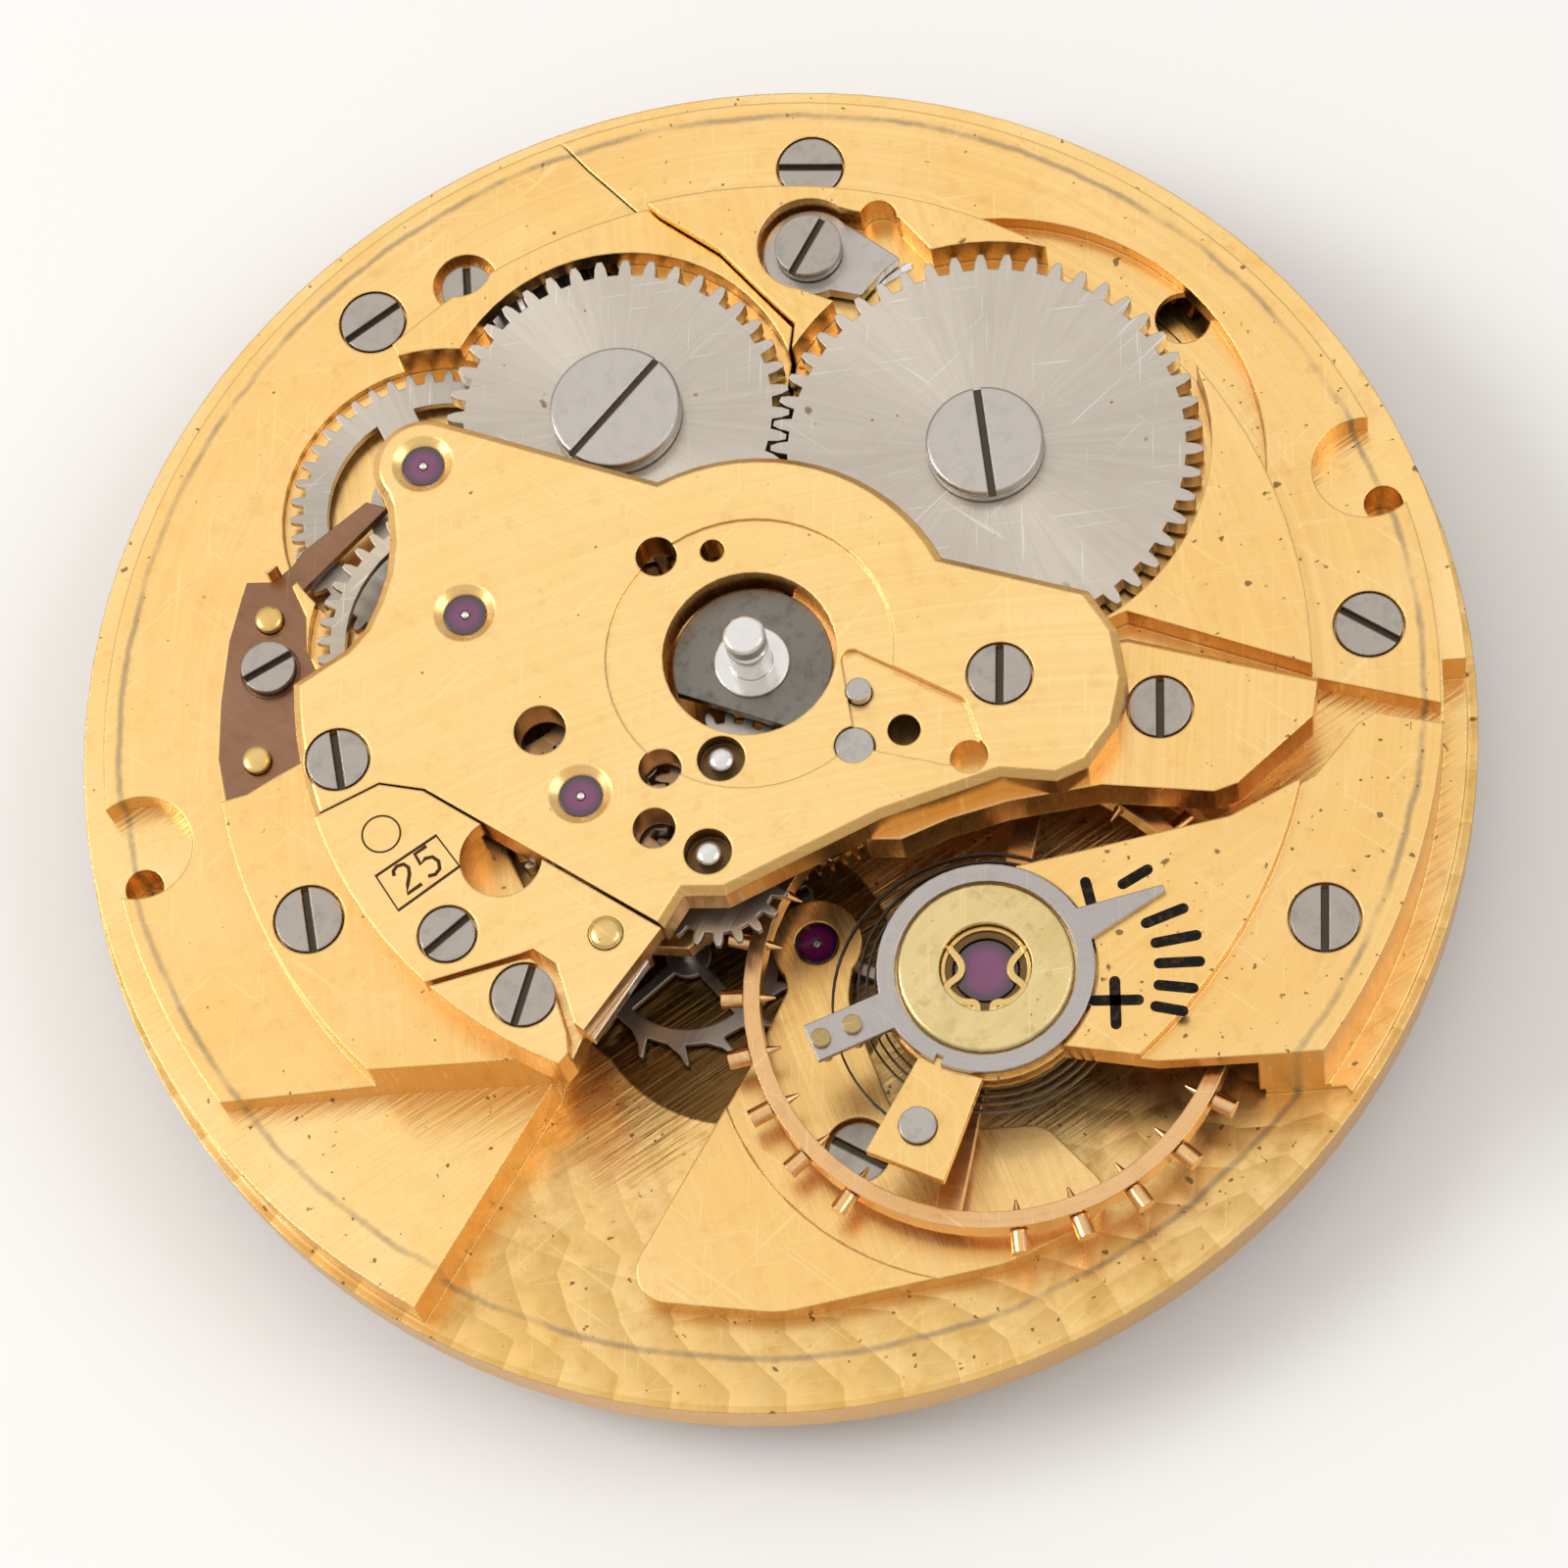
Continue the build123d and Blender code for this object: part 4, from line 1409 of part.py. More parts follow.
for number, place, phase in zip(("one", "two"), REVERSERS, (0, PAIR_PHASE)):
    with BuildPart() as lower:
        gear(place, REVERSER_PAIR_TEETH, REVERSER_PAIR_PITCH, phase, PAIR_FOOT, PAIR_TOP)
        column(place, REVERSER_BORE_R, PAIR_FOOT, PAIR_TOP, Mode.SUBTRACT)
    save(lower, f"reverser_{number}_lower")

# Steel pins: the reversers' axles, and the two pins pressed into the top bridge
PIN_HEAD_R = 0.22
PIN_HEAD_DROP = 0.1
PIN_PROUD = 0.03

with BuildPart() as steel_pins:
    for place in REVERSERS:
        column(place, REVERSER_PIN_R, PIN_SEAT, PIN_SHELF)
        column(place, PIN_HEAD_R, PIN_SHELF, TOP_BRIDGE_TOP - PIN_HEAD_DROP)
    plug_tops = (TOP_BRIDGE_TOP + PIN_PROUD, TOP_BRIDGE_TOP - PIN_HEAD_DROP)
    for (shares, radius_share), plug_top in zip(PLUG_HOLE_SHARES.values(), plug_tops):
        column(at(shares), radius_share * CASING_R - FIT, TOP_BRIDGE_FOOT + FIT, plug_top)
save(steel_pins, "steel_pins")

# Rotor post: the bearing stud that carries the winding rotor, on its dark disc
DISC_R = 1.45
DISC_FOOT = 3.92
DISC_TOP = 4.15
DISC_CHORD = 0.95
DISC_CHORD_TURN = 224
POST_BASE_R = 0.68
POST_BASE_TOP = 4.25
POST_R = 0.38
POST_TOP = 5.5
POST_WAIST_R = 0.28
POST_GROOVE_FOOT = 5.02
POST_GROOVE_TOP = 5.18

with BuildPart() as post_disc:
    column(CENTRE, DISC_R, DISC_FOOT, DISC_TOP)
    chord_reach = DISC_CHORD + DISC_R
    turned_rectangle(polar(CENTRE, chord_reach, DISC_CHORD_TURN), 2 * DISC_R, 2 * DISC_R,
                     DISC_CHORD_TURN, DISC_FOOT, DISC_TOP, Mode.SUBTRACT)
    column(CENTRE, POST_SHANK_R + FIT, DISC_FOOT, DISC_TOP, Mode.SUBTRACT)
save(post_disc, "post_disc")

with BuildPart() as rotor_post:
    groove_middle = (POST_GROOVE_FOOT + POST_GROOVE_TOP) / 2
    turned([
        (0, TAIL_FOOT + RUN), (POST_SHANK_R, TAIL_FOOT + RUN), (POST_SHANK_R, DISC_TOP + FIT),
        (POST_BASE_R, DISC_TOP + FIT), (POST_BASE_R, POST_BASE_TOP), (POST_R, POST_BASE_TOP),
        (POST_R, POST_GROOVE_FOOT), (POST_WAIST_R, groove_middle), (POST_R, POST_GROOVE_TOP),
        (POST_R, POST_TOP - WHEEL_EDGE_BEVEL), (POST_R - WHEEL_EDGE_BEVEL, POST_TOP), (0, POST_TOP),
    ])
save(rotor_post, "rotor_post")

# Brown guard plate over the slotted wheel, and the brass pins
GUARD_PIN_SHARES = ((-0.584, 0.429), (-0.687, 0.237))
GUARD_PIN_R = 0.25
GUARD_PIN_TOP = 3.22

with BuildPart() as wheel_guard:
    slab(spots(GUARD_SHARES), GUARD_FLOOR, GUARD_TOP)
    for shares in GUARD_PIN_SHARES:
        column(at(shares), GUARD_PIN_R + FIT, GUARD_FLOOR, GUARD_TOP, Mode.SUBTRACT)
    all_screw_holes()
save(wheel_guard, "wheel_guard")

with BuildPart() as brass_pins:
    for shares in GUARD_PIN_SHARES:
        column(at(shares), GUARD_PIN_R, GUARD_FLOOR, GUARD_PIN_TOP)
    column(at(COVER_PIN_SHARES), COVER_PIN_R, BRIDGE_TOP, TOP_BRIDGE_TOP + PIN_PROUD)
save(brass_pins, "brass_pins")

# Jewel bearings
with BuildPart() as jewels:
    for place, roof in UPPER_PIVOTS:
        jewel(place, roof)
    for place in AUTOMATIC_JEWELS:
        jewel(place, TOP_BRIDGE_TOP - COUNTERSINK_DEPTH - JEWEL_HEIGHT)
    jewel(PALLET, PALLET_TURNED_TOP - JEWEL_HEIGHT)
    column(BALANCE, CAP_JEWEL_R, CAP_JEWEL_FOOT, CAP_JEWEL_TOP)
    column(BALANCE, CAP_JEWEL_R, SHOCK_BUSH_FOOT, CAP_JEWEL_FOOT - RUN)
    column(BALANCE, JEWEL_HOLE_R, SHOCK_BUSH_FOOT, CAP_JEWEL_FOOT - RUN, Mode.SUBTRACT)
save(jewels, "jewels")

# Screws: one node for each kind
for label, screw_set in zip(("bridge_screws", "automatic_screws"), SCREW_SETS):
    table, head_radius, shank_radius, foot = screw_set
    with BuildPart() as screws:
        for shares, top, turn in table.values():
            screw(at(shares), head_radius, top, shank_radius, foot + RUN, turn)
    save(screws, label)

LEVER_HEAD_R = 0.5
LEVER_FOOT = 0.02
LEVER_TOP = 0.14

with BuildPart() as small_screws:
    for shares, top, turn in DOMED_SCREW_SHARES.values():
        screw(at(shares), DOMED_HEAD_R, top, DOMED_SHANK_R, PLATE_TOP + RUN, turn)
    shares, top, turn = PALLET_SCREW_SHARES
    screw(at(shares), PALLET_HEAD_R, top, PALLET_SHANK_R, PALLET_SCREW_FOOT + RUN, turn)
    shares, top, turn = LEVER_SCREW_SHARES
    screw(at(shares), LEVER_HEAD_R, top, LEVER_SHANK_R, LEVER_FOOT, turn)
    screw(CLICK, CLICK_HEAD_R, CLICK_TOP + RUN + BRIDGE_HEAD_HEIGHT, CLICK_SHANK_R,
          CLICK_SCREW_FOOT + PLAY, CLICK_SLOT_TURN)
save(small_screws, "small_screws")

# Keyless works on the stem's axis, and the setting lever on the dial side
STEM_R = 0.28
WINDING_TEETH = 16
WINDING_PITCH = 1.16
WINDING_SPAN = (8.56, 9.78)
CLUTCH_R = 0.85
CLUTCH_GROOVE_R = 0.64
CLUTCH_SPAN = (6.88, 8.48)
CLUTCH_GROOVE_SPAN = (7.4, 7.8)
LEVER_ARM_SHARES = ((-0.01, 0.72), (-0.11, 0.645))
LEVER_ARM_WIDTH = 0.62
LEVER_BOSS_R = 0.45


with BuildPart() as winding_pinion:
    with BuildSketch(Plane.XZ.offset(-WINDING_SPAN[0])) as outline:
        with BuildLine():
            Polyline(*tooth_points((0, STEM_LEVEL), WINDING_TEETH, WINDING_PITCH, 0), close=True)
        make_face()
    block(outline, WINDING_SPAN[0] - WINDING_SPAN[1])
    stem_ring(STEM_R, *WINDING_SPAN, Mode.SUBTRACT)
save(winding_pinion, "winding_pinion")

with BuildPart() as sliding_clutch:
    stem_ring(CLUTCH_R, *CLUTCH_SPAN)
    stem_ring(CLUTCH_R, *CLUTCH_GROOVE_SPAN, Mode.SUBTRACT)
    stem_ring(CLUTCH_GROOVE_R, *CLUTCH_GROOVE_SPAN)
    stem_ring(STEM_R, *CLUTCH_SPAN, Mode.SUBTRACT)
save(sliding_clutch, "sliding_clutch")

with BuildPart() as setting_lever:
    lever_pivot = at(LEVER_SCREW_SHARES[0])
    column(lever_pivot, LEVER_BOSS_R, LEVER_FOOT, LEVER_TOP)
    for shares in LEVER_ARM_SHARES:
        bar(lever_pivot, at(shares), LEVER_ARM_WIDTH, LEVER_FOOT, LEVER_TOP)
    column(lever_pivot, LEVER_SHANK_R + RUN, LEVER_FOOT, LEVER_TOP, Mode.SUBTRACT)
save(setting_lever, "setting_lever")

# Motion works on the dial side
CANNON_FOOT = 0.28
CANNON_TOP = 0.42
CANNON_PIPE_R = 0.45
CANNON_PIPE_REACH = 1.4
HOUR_FOOT = 0.1
HOUR_TOP = 0.24
HOUR_PIPE_R = 0.75
HOUR_BORE_R = CANNON_PIPE_R + RUN
HOUR_PIPE_REACH = 0.9
MINUTE_WHEEL_FOOT = 0.3
MINUTE_PINION_FOOT = 0.08

with BuildPart() as cannon_pinion:
    gear(CENTRE, CANNON_TEETH, CANNON_PITCH, 0, CANNON_FOOT, CANNON_TOP)
    column(CENTRE, CANNON_PIPE_R, -CANNON_PIPE_REACH, CANNON_FOOT)
    column(CENTRE, CENTRE_SHANK_R + FIT, -CANNON_PIPE_REACH, CANNON_TOP, Mode.SUBTRACT)
save(cannon_pinion, "cannon_pinion")

with BuildPart() as hour_wheel:
    gear(CENTRE, HOUR_TEETH, HOUR_PITCH, 0, HOUR_FOOT, HOUR_TOP)
    column(CENTRE, HOUR_PIPE_R, -HOUR_PIPE_REACH, HOUR_FOOT)
    column(CENTRE, HOUR_BORE_R, -HOUR_PIPE_REACH, HOUR_TOP, Mode.SUBTRACT)
save(hour_wheel, "hour_wheel")

with BuildPart() as minute_wheel:
    gear(MINUTE, MINUTE_TEETH, MINUTE_PITCH, MINUTE_PHASE, MINUTE_WHEEL_FOOT, CANNON_TOP)
    gear(MINUTE, MINUTE_PINION_TEETH, MINUTE_PINION_PITCH, MINUTE_PINION_PHASE,
         MINUTE_PINION_FOOT, MINUTE_WHEEL_FOOT)
    column(MINUTE, MINUTE_POST_R + RUN, MINUTE_PINION_FOOT, CANNON_TOP, Mode.SUBTRACT)
save(minute_wheel, "minute_wheel")
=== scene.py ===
import bpy, bmesh, math
from mathutils import Matrix, Vector


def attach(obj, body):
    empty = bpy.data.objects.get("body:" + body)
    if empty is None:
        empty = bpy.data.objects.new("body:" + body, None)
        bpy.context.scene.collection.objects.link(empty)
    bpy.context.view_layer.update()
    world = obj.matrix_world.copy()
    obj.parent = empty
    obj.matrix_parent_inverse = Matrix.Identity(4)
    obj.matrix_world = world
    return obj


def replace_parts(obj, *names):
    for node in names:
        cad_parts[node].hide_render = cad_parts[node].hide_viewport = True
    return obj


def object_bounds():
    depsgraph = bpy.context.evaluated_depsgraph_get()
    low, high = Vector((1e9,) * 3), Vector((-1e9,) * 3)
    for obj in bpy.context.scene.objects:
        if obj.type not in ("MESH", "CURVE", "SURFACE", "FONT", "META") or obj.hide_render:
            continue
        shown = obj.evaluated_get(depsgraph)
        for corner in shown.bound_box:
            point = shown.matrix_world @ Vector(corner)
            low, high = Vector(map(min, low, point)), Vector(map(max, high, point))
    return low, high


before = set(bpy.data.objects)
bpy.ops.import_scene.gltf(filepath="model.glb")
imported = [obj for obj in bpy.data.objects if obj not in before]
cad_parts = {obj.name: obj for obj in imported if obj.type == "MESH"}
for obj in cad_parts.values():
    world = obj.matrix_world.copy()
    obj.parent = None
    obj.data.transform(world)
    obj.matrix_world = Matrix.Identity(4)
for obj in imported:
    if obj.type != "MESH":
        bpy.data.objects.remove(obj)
CAD_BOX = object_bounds()

# Lengths are in millimetres and turns in degrees. Meshes and lamps are made in metres.
MM = 0.001
CASING_R = 12.8


def at(across, upward):
    """A place on the plan, given in shares of the casing's radius."""
    return (across * CASING_R, upward * CASING_R)


# places of the wheels and wells on the plan
CENTRE = (0.0, 0.0)
BARREL = at(0.4469, 0.1695)
CROWN = at(0.0, 0.475)
ESCAPE = at(-0.2578, -0.2539)
RECESS = at(-0.203, -0.32)
PALLET = at(-0.0891, -0.3422)
BALANCE = at(0.0914, -0.543)
SLOTTED = (-3.6926, 6.2283)
SPOKED = (-4.2311, 3.1551)
DRIVING = (-3.841, -1.0267)
UPPER_JEWELS = {"slotted": SLOTTED, "spoked": SPOKED, "driving": DRIVING}
STEEL_PINS = ((-1.3229, -1.5886), (-2.2898, -3.0883))


def polar(origin, reach, turn):
    angle = math.radians(turn)
    return (origin[0] + reach * math.cos(angle), origin[1] + reach * math.sin(angle))


class Nodes:
    """Builds one material from shader nodes."""

    def __init__(self, name):
        self.mat = bpy.data.materials.new(name)
        self.mat.use_nodes = True
        self.tree = self.mat.node_tree
        self.tree.nodes.clear()
        self.out = self.add("ShaderNodeOutputMaterial")
        self.bsdf = self.add("ShaderNodeBsdfPrincipled")
        self.link(self.bsdf.outputs["BSDF"], self.out.inputs["Surface"])

    def add(self, kind, **props):
        node = self.tree.nodes.new(kind)
        for key, value in props.items():
            setattr(node, key, value)
        return node

    def link(self, source, target):
        self.tree.links.new(source, target)

    def feed(self, socket, value):
        # a socket takes a number, a colour or what another node gives
        if isinstance(value, (int, float)):
            socket.default_value = value
        elif isinstance(value, tuple):
            socket.default_value = (*value, 1.0)
        else:
            self.link(value, socket)

    def math(self, operation, *values):
        node = self.add("ShaderNodeMath", operation=operation)
        for socket, value in zip(node.inputs, values):
            self.feed(socket, value)
        return node.outputs[0]

    def times(self, first, second):
        return self.math("MULTIPLY", first, second)

    def plus(self, first, second):
        return self.math("ADD", first, second)

    def minus(self, first, second):
        return self.math("SUBTRACT", first, second)

    def most(self, first, *others):
        for other in others:
            first = self.math("MAXIMUM", first, other)
        return first

    def reach(self, x, y):
        return self.math("SQRT", self.plus(self.times(x, x), self.times(y, y)))

    def mix(self, factor, first, second):
        node = self.add("ShaderNodeMix", data_type="RGBA")
        self.feed(node.inputs[0], factor)
        self.feed(node.inputs[6], first)
        self.feed(node.inputs[7], second)
        return node.outputs[2]

    def ramp(self, value, low, high, start=0.0, end=1.0):
        node = self.add("ShaderNodeMapRange", clamp=True)
        for socket, number in zip(node.inputs, (value, low, high, start, end)):
            self.feed(socket, number)
        return node.outputs[0]

    def coords(self):
        # object coordinates in millimetres: every object's origin is the frame's
        if not hasattr(self, "in_mm"):
            texture = self.add("ShaderNodeTexCoord")
            scale = self.add("ShaderNodeVectorMath", operation="SCALE")
            scale.inputs[3].default_value = 1000.0
            self.link(texture.outputs["Object"], scale.inputs[0])
            self.in_mm = scale.outputs[0]
        return self.in_mm

    def moved(self, place=CENTRE, turn=0.0, scale=(1, 1, 1)):
        node = self.add("ShaderNodeMapping", vector_type="TEXTURE")
        node.inputs["Location"].default_value = (*place, 0.0)
        node.inputs["Rotation"].default_value = (0, 0, math.radians(turn))
        node.inputs["Scale"].default_value = scale
        self.link(self.coords(), node.inputs["Vector"])
        return node.outputs[0]

    def noise(self, vector, scale, detail, rough):
        node = self.add("ShaderNodeTexNoise")
        node.inputs["Scale"].default_value = scale
        node.inputs["Detail"].default_value = detail
        node.inputs["Roughness"].default_value = rough
        self.link(vector, node.inputs["Vector"])
        return node.outputs["Fac"]

    def split(self, vector):
        node = self.add("ShaderNodeSeparateXYZ")
        self.link(vector, node.inputs[0])
        return node.outputs

    def join(self, x, y, z):
        node = self.add("ShaderNodeCombineXYZ")
        for socket, value in zip(node.inputs, (x, y, z)):
            self.feed(socket, value)
        return node.outputs[0]

    def height(self):
        return self.split(self.coords())[2]

    def polar(self, place):
        x, y = self.split(self.moved(place))[:2]
        return self.reach(x, y), self.math("ARCTAN2", y, x)

    def stretched(self, turn, length, fineness, detail, rough):
        # noise stretched along one direction
        return self.noise(self.moved(turn=turn, scale=(1 / length, 1 / fineness, 1)), 1.0, detail, rough)

    def lines(self, turn, fineness, length=0.35):
        # straight brushing
        return self.stretched(turn, length, fineness, 3.0, 0.65)

    def rings(self, place, fineness, wobble):
        radius, angle = self.polar(place)
        vector = self.join(self.times(radius, fineness), self.times(angle, wobble), 0.0)
        return self.noise(vector, 1.0, 3.0, 0.65)

    def rays(self, place, fineness):
        radius, angle = self.polar(place)
        vector = self.join(self.times(self.math("SINE", angle), fineness),
                           self.times(self.math("COSINE", angle), fineness),
                           self.times(radius, 0.5))
        return self.noise(vector, 1.0, 2.0, 0.6)

    def facing_up(self, low=0.6):
        geometry = self.add("ShaderNodeNewGeometry")
        return self.ramp(self.split(geometry.outputs["True Normal"])[2], low, 0.9)

    def around(self, place):
        # the direction round a place, in which a brushed highlight spreads
        x, y = self.split(self.moved(place))[:2]
        node = self.add("ShaderNodeVectorMath", operation="NORMALIZE")
        self.link(self.join(self.times(y, -1.0), x, 0.0), node.inputs[0])
        return node.outputs[0]

    def specks(self, size, amount):
        return self.ramp(self.noise(self.moved(), size, 2.0, 0.55), amount, amount + 0.03)

    def near(self, value, level, reach):
        # one where a value lies within reach of a level
        return self.math("LESS_THAN", self.math("ABSOLUTE", self.minus(value, level)), reach)

    def scratches(self, amount=0.70):
        marks = []
        for turn, size in ((18, 1.0), (63, 1.6), (117, 1.2), (160, 2.1)):
            mark = self.stretched(turn, 0.35 * size, 13 * size, 1.0, 0.4)
            marks.append(self.ramp(mark, amount, amount + 0.05))
        return self.most(*marks)

    def bump(self, height, strength, distance, normal=None):
        node = self.add("ShaderNodeBump")
        node.inputs["Strength"].default_value = strength
        node.inputs["Distance"].default_value = distance * MM
        self.link(height, node.inputs["Height"])
        if normal is not None:
            self.link(normal, node.inputs["Normal"])
        return node.outputs[0]

    def soft_edge(self, radius):
        node = self.add("ShaderNodeBevel", samples=4)
        node.inputs["Radius"].default_value = radius * MM
        return node.outputs[0]

    def set(self, **values):
        for key, value in values.items():
            self.feed(self.bsdf.inputs[key.replace("_", " ")], value)


GOLD = (0.93, 0.605, 0.22)
GOLD_DEEP = (0.62, 0.29, 0.06)
GOLD_PALE = (1.0, 0.77, 0.41)
# painted shade: the gilt's walls and the mainplate's walls take darker colours than their tops
GOLD_WALL_SHADE = (0.70, 0.37, 0.10)
FLOOR_WALL_SHADE = (0.74, 0.41, 0.11)
FLOOR_SHADE = (0.50, 0.27, 0.06)
FLOOR_STAIN = (0.55, 0.34, 0.08)
# painted shade: colours for the floor's low parts, its wells, the holes of the top bridge and the screws'
# slot floors
FLOOR_DEPTH_SHADE = (0.30, 0.15, 0.035)
WELL_SHADE = (0.11, 0.055, 0.015)
HOLE_SHADE = (0.06, 0.03, 0.012)
SLOT_SHADE = (0.05, 0.035, 0.02)
SHOCK_WELL_DARK = (0.10, 0.045, 0.015)
RIM_GREY = (0.22, 0.18, 0.14)
PEACH = (0.96, 0.66, 0.27)
DIRT = (0.12, 0.07, 0.03)
INK_WORN = (0.06, 0.035, 0.012)
RUST = (0.20, 0.08, 0.04)

# heights of the screws' slot floors and of the shock setting's well, and how near counts as on them
SLOT_FLOORS = (1.16, 2.21, 2.41, 3.11, 3.16, 3.32, 3.36, 3.527, 3.76, 4.56)
SHOCK_FLOOR = 3.46
SHOCK_WELL_R = 0.84
ON_FLOOR = 0.012

# the mainplate's floor with its round polished spots, and the two wells in it, which are painted in shade
FLOOR_LOW, FLOOR_HIGH = (0.5, 0.56), (1.0, 1.1)
SPOTS_START_R, SPOTS_FULL_R = 8.2, 10.6
SPOT_ROW_STEP = 1.05
WELLS = ((RECESS, 2.86), (ESCAPE, 2.43))
WORN_ARC_R = 11.9
ROTOR_TRACK_R = (9.98, 10.02)

# holes of the top bridge whose insides are painted in shade, and the jewels: place, radius
SHADED_HOLES = (
    (STEEL_PINS[0], 0.44), (STEEL_PINS[1], 0.44), (at(0.069, -0.194), 0.385), (at(0.141, -0.203), 0.3),
)
JEWEL_SPOTS = ((SLOTTED, 0.39), (SPOKED, 0.39), (DRIVING, 0.39), (PALLET, 0.39), (BALANCE, 0.56))


def metal(name, tones, grain, rough, edge, specks, patina=0.35, extra=None, wall_shade=None):
    """Worn metal in three tones, plain, deep and pale, with a grain, scratches and specks of dirt. A wall
    colour, where given, is painted shade on the faces that do not face up.
    """
    colour, deep, pale = tones
    n = Nodes(name)
    large = n.noise(n.moved(), 0.35, 3.0, 0.6)
    small = n.noise(n.moved(), 2.6, 4.0, 0.6)
    height = grain(n)
    tone = n.mix(n.ramp(large, 0.35, 0.7, 0.0, patina), colour, pale)
    tone = n.mix(n.ramp(small, 0.55, 0.8, 0.0, patina), tone, deep)
    tone = n.mix(n.ramp(height, 0.3, 0.7, 0.0, 0.22), tone, deep)
    # painted shade: faces that do not face up take the darker wall colour
    if wall_shade is not None:
        tone = n.mix(n.facing_up(), wall_shade, tone)
    tone = n.mix(n.times(n.scratches(), 0.35), tone, pale)
    dots = n.most(n.specks(2.4, 0.80 - specks), n.specks(5.5, 0.80 - specks * 1.3))
    tone = n.mix(n.times(dots, 0.8), tone, DIRT)
    if extra is not None:
        tone = extra(n, tone)
    n.set(Base_Color=tone, Metallic=1.0, Roughness=n.ramp(height, 0.25, 0.75, rough - 0.06, rough + 0.08),
          Normal=n.bump(height, 0.25, 0.012, n.soft_edge(edge)))
    return n.mat


def steel_wheel(name, place, colour=(0.53, 0.47, 0.40), pale=(0.66, 0.60, 0.52), rust=True):
    """Steel brushed out from its centre, so that its highlights fan out."""
    n = Nodes(name)
    rays = n.rays(place, 26.0)
    fine = n.rays(place, 120.0)
    blot = n.noise(n.moved(), 0.9, 4.0, 0.6)
    tone = n.mix(n.ramp(rays, 0.3, 0.7, 0.0, 0.5), colour, pale)
    tone = n.mix(n.ramp(fine, 0.35, 0.7, 0.0, 0.3), tone, (0.50, 0.45, 0.38))
    tone = n.mix(n.ramp(blot, 0.5, 0.75, 0.0, 0.25), tone, (0.45, 0.38, 0.31))
    tone = n.mix(n.times(n.scratches(0.72), 0.4), tone, (0.9, 0.86, 0.8))
    if rust:
        dots = n.most(n.specks(1.5, 0.73), n.specks(4.5, 0.75))
        tone = n.mix(n.times(dots, 0.75), tone, RUST)
    n.set(Base_Color=tone, Metallic=1.0, Roughness=n.ramp(fine, 0.3, 0.7, 0.30, 0.42), Anisotropic=0.6,
          Tangent=n.around(place), Normal=n.bump(fine, 0.12, 0.008, n.soft_edge(0.035)))
    return n.mat


def polished(name, colour, rough, mottle, edge=0.05, dark=(0.08, 0.07, 0.06), scratch=0.15, slots=False):
    """Polished steel. With slots, it is painted dark as shade at the heights of the screws' slot floors."""
    n = Nodes(name)
    blot = n.noise(n.moved(), 3.0, 4.0, 0.65)
    lines = n.lines(35, 14.0, 0.5)
    tone = n.mix(n.ramp(blot, 0.5, 0.8, 0.0, mottle), colour, dark)
    if slots:
        z = n.height()
        # painted shade on the slot floors of the screws
        slot_floor_shade = n.most(*[n.near(z, level, ON_FLOOR) for level in SLOT_FLOORS])
        tone = n.mix(n.times(slot_floor_shade, 0.93), tone, SLOT_SHADE)
    n.set(Base_Color=tone, Metallic=1.0, Roughness=n.ramp(lines, 0.3, 0.7, rough, rough + 0.1),
          Normal=n.bump(lines, scratch, 0.008, n.soft_edge(edge)))
    return n.mat


def spot_row(n, radius, angle, shift):
    # one set of round spots in rows along the rim; the second set lies between the first
    row = n.plus(n.math("DIVIDE", radius, SPOT_ROW_STEP), shift)
    row_number = n.math("FLOOR", row)
    across = n.minus(n.math("FRACT", row), 0.5)
    spots_per_radian = n.plus(n.times(row_number, 0.955), 1.0)
    step = n.plus(n.times(angle, spots_per_radian), n.times(row_number, 0.41 + shift))
    along = n.minus(n.math("FRACT", step), 0.5)
    cup = n.minus(0.72, n.reach(across, along))
    return cup, n.minus(across, n.times(along, 0.6))


def rim_worn(n, tone):
    # a grey worn arc along the outer rims
    radius = n.polar(CENTRE)[0]
    waver = n.noise(n.moved(), 0.8, 4.0, 0.7)
    middle = n.plus(WORN_ARC_R, n.times(waver, 0.2))
    off_line = n.math("ABSOLUTE", n.minus(radius, middle))
    line = n.minus(1.0, n.ramp(off_line, 0.02, 0.09))
    patchy = n.ramp(n.noise(n.moved(), 0.5, 4.0, 0.7), 0.36, 0.55, 0.25, 1.0)
    return n.mix(n.times(n.times(line, patchy), 0.6), tone, RIM_GREY)


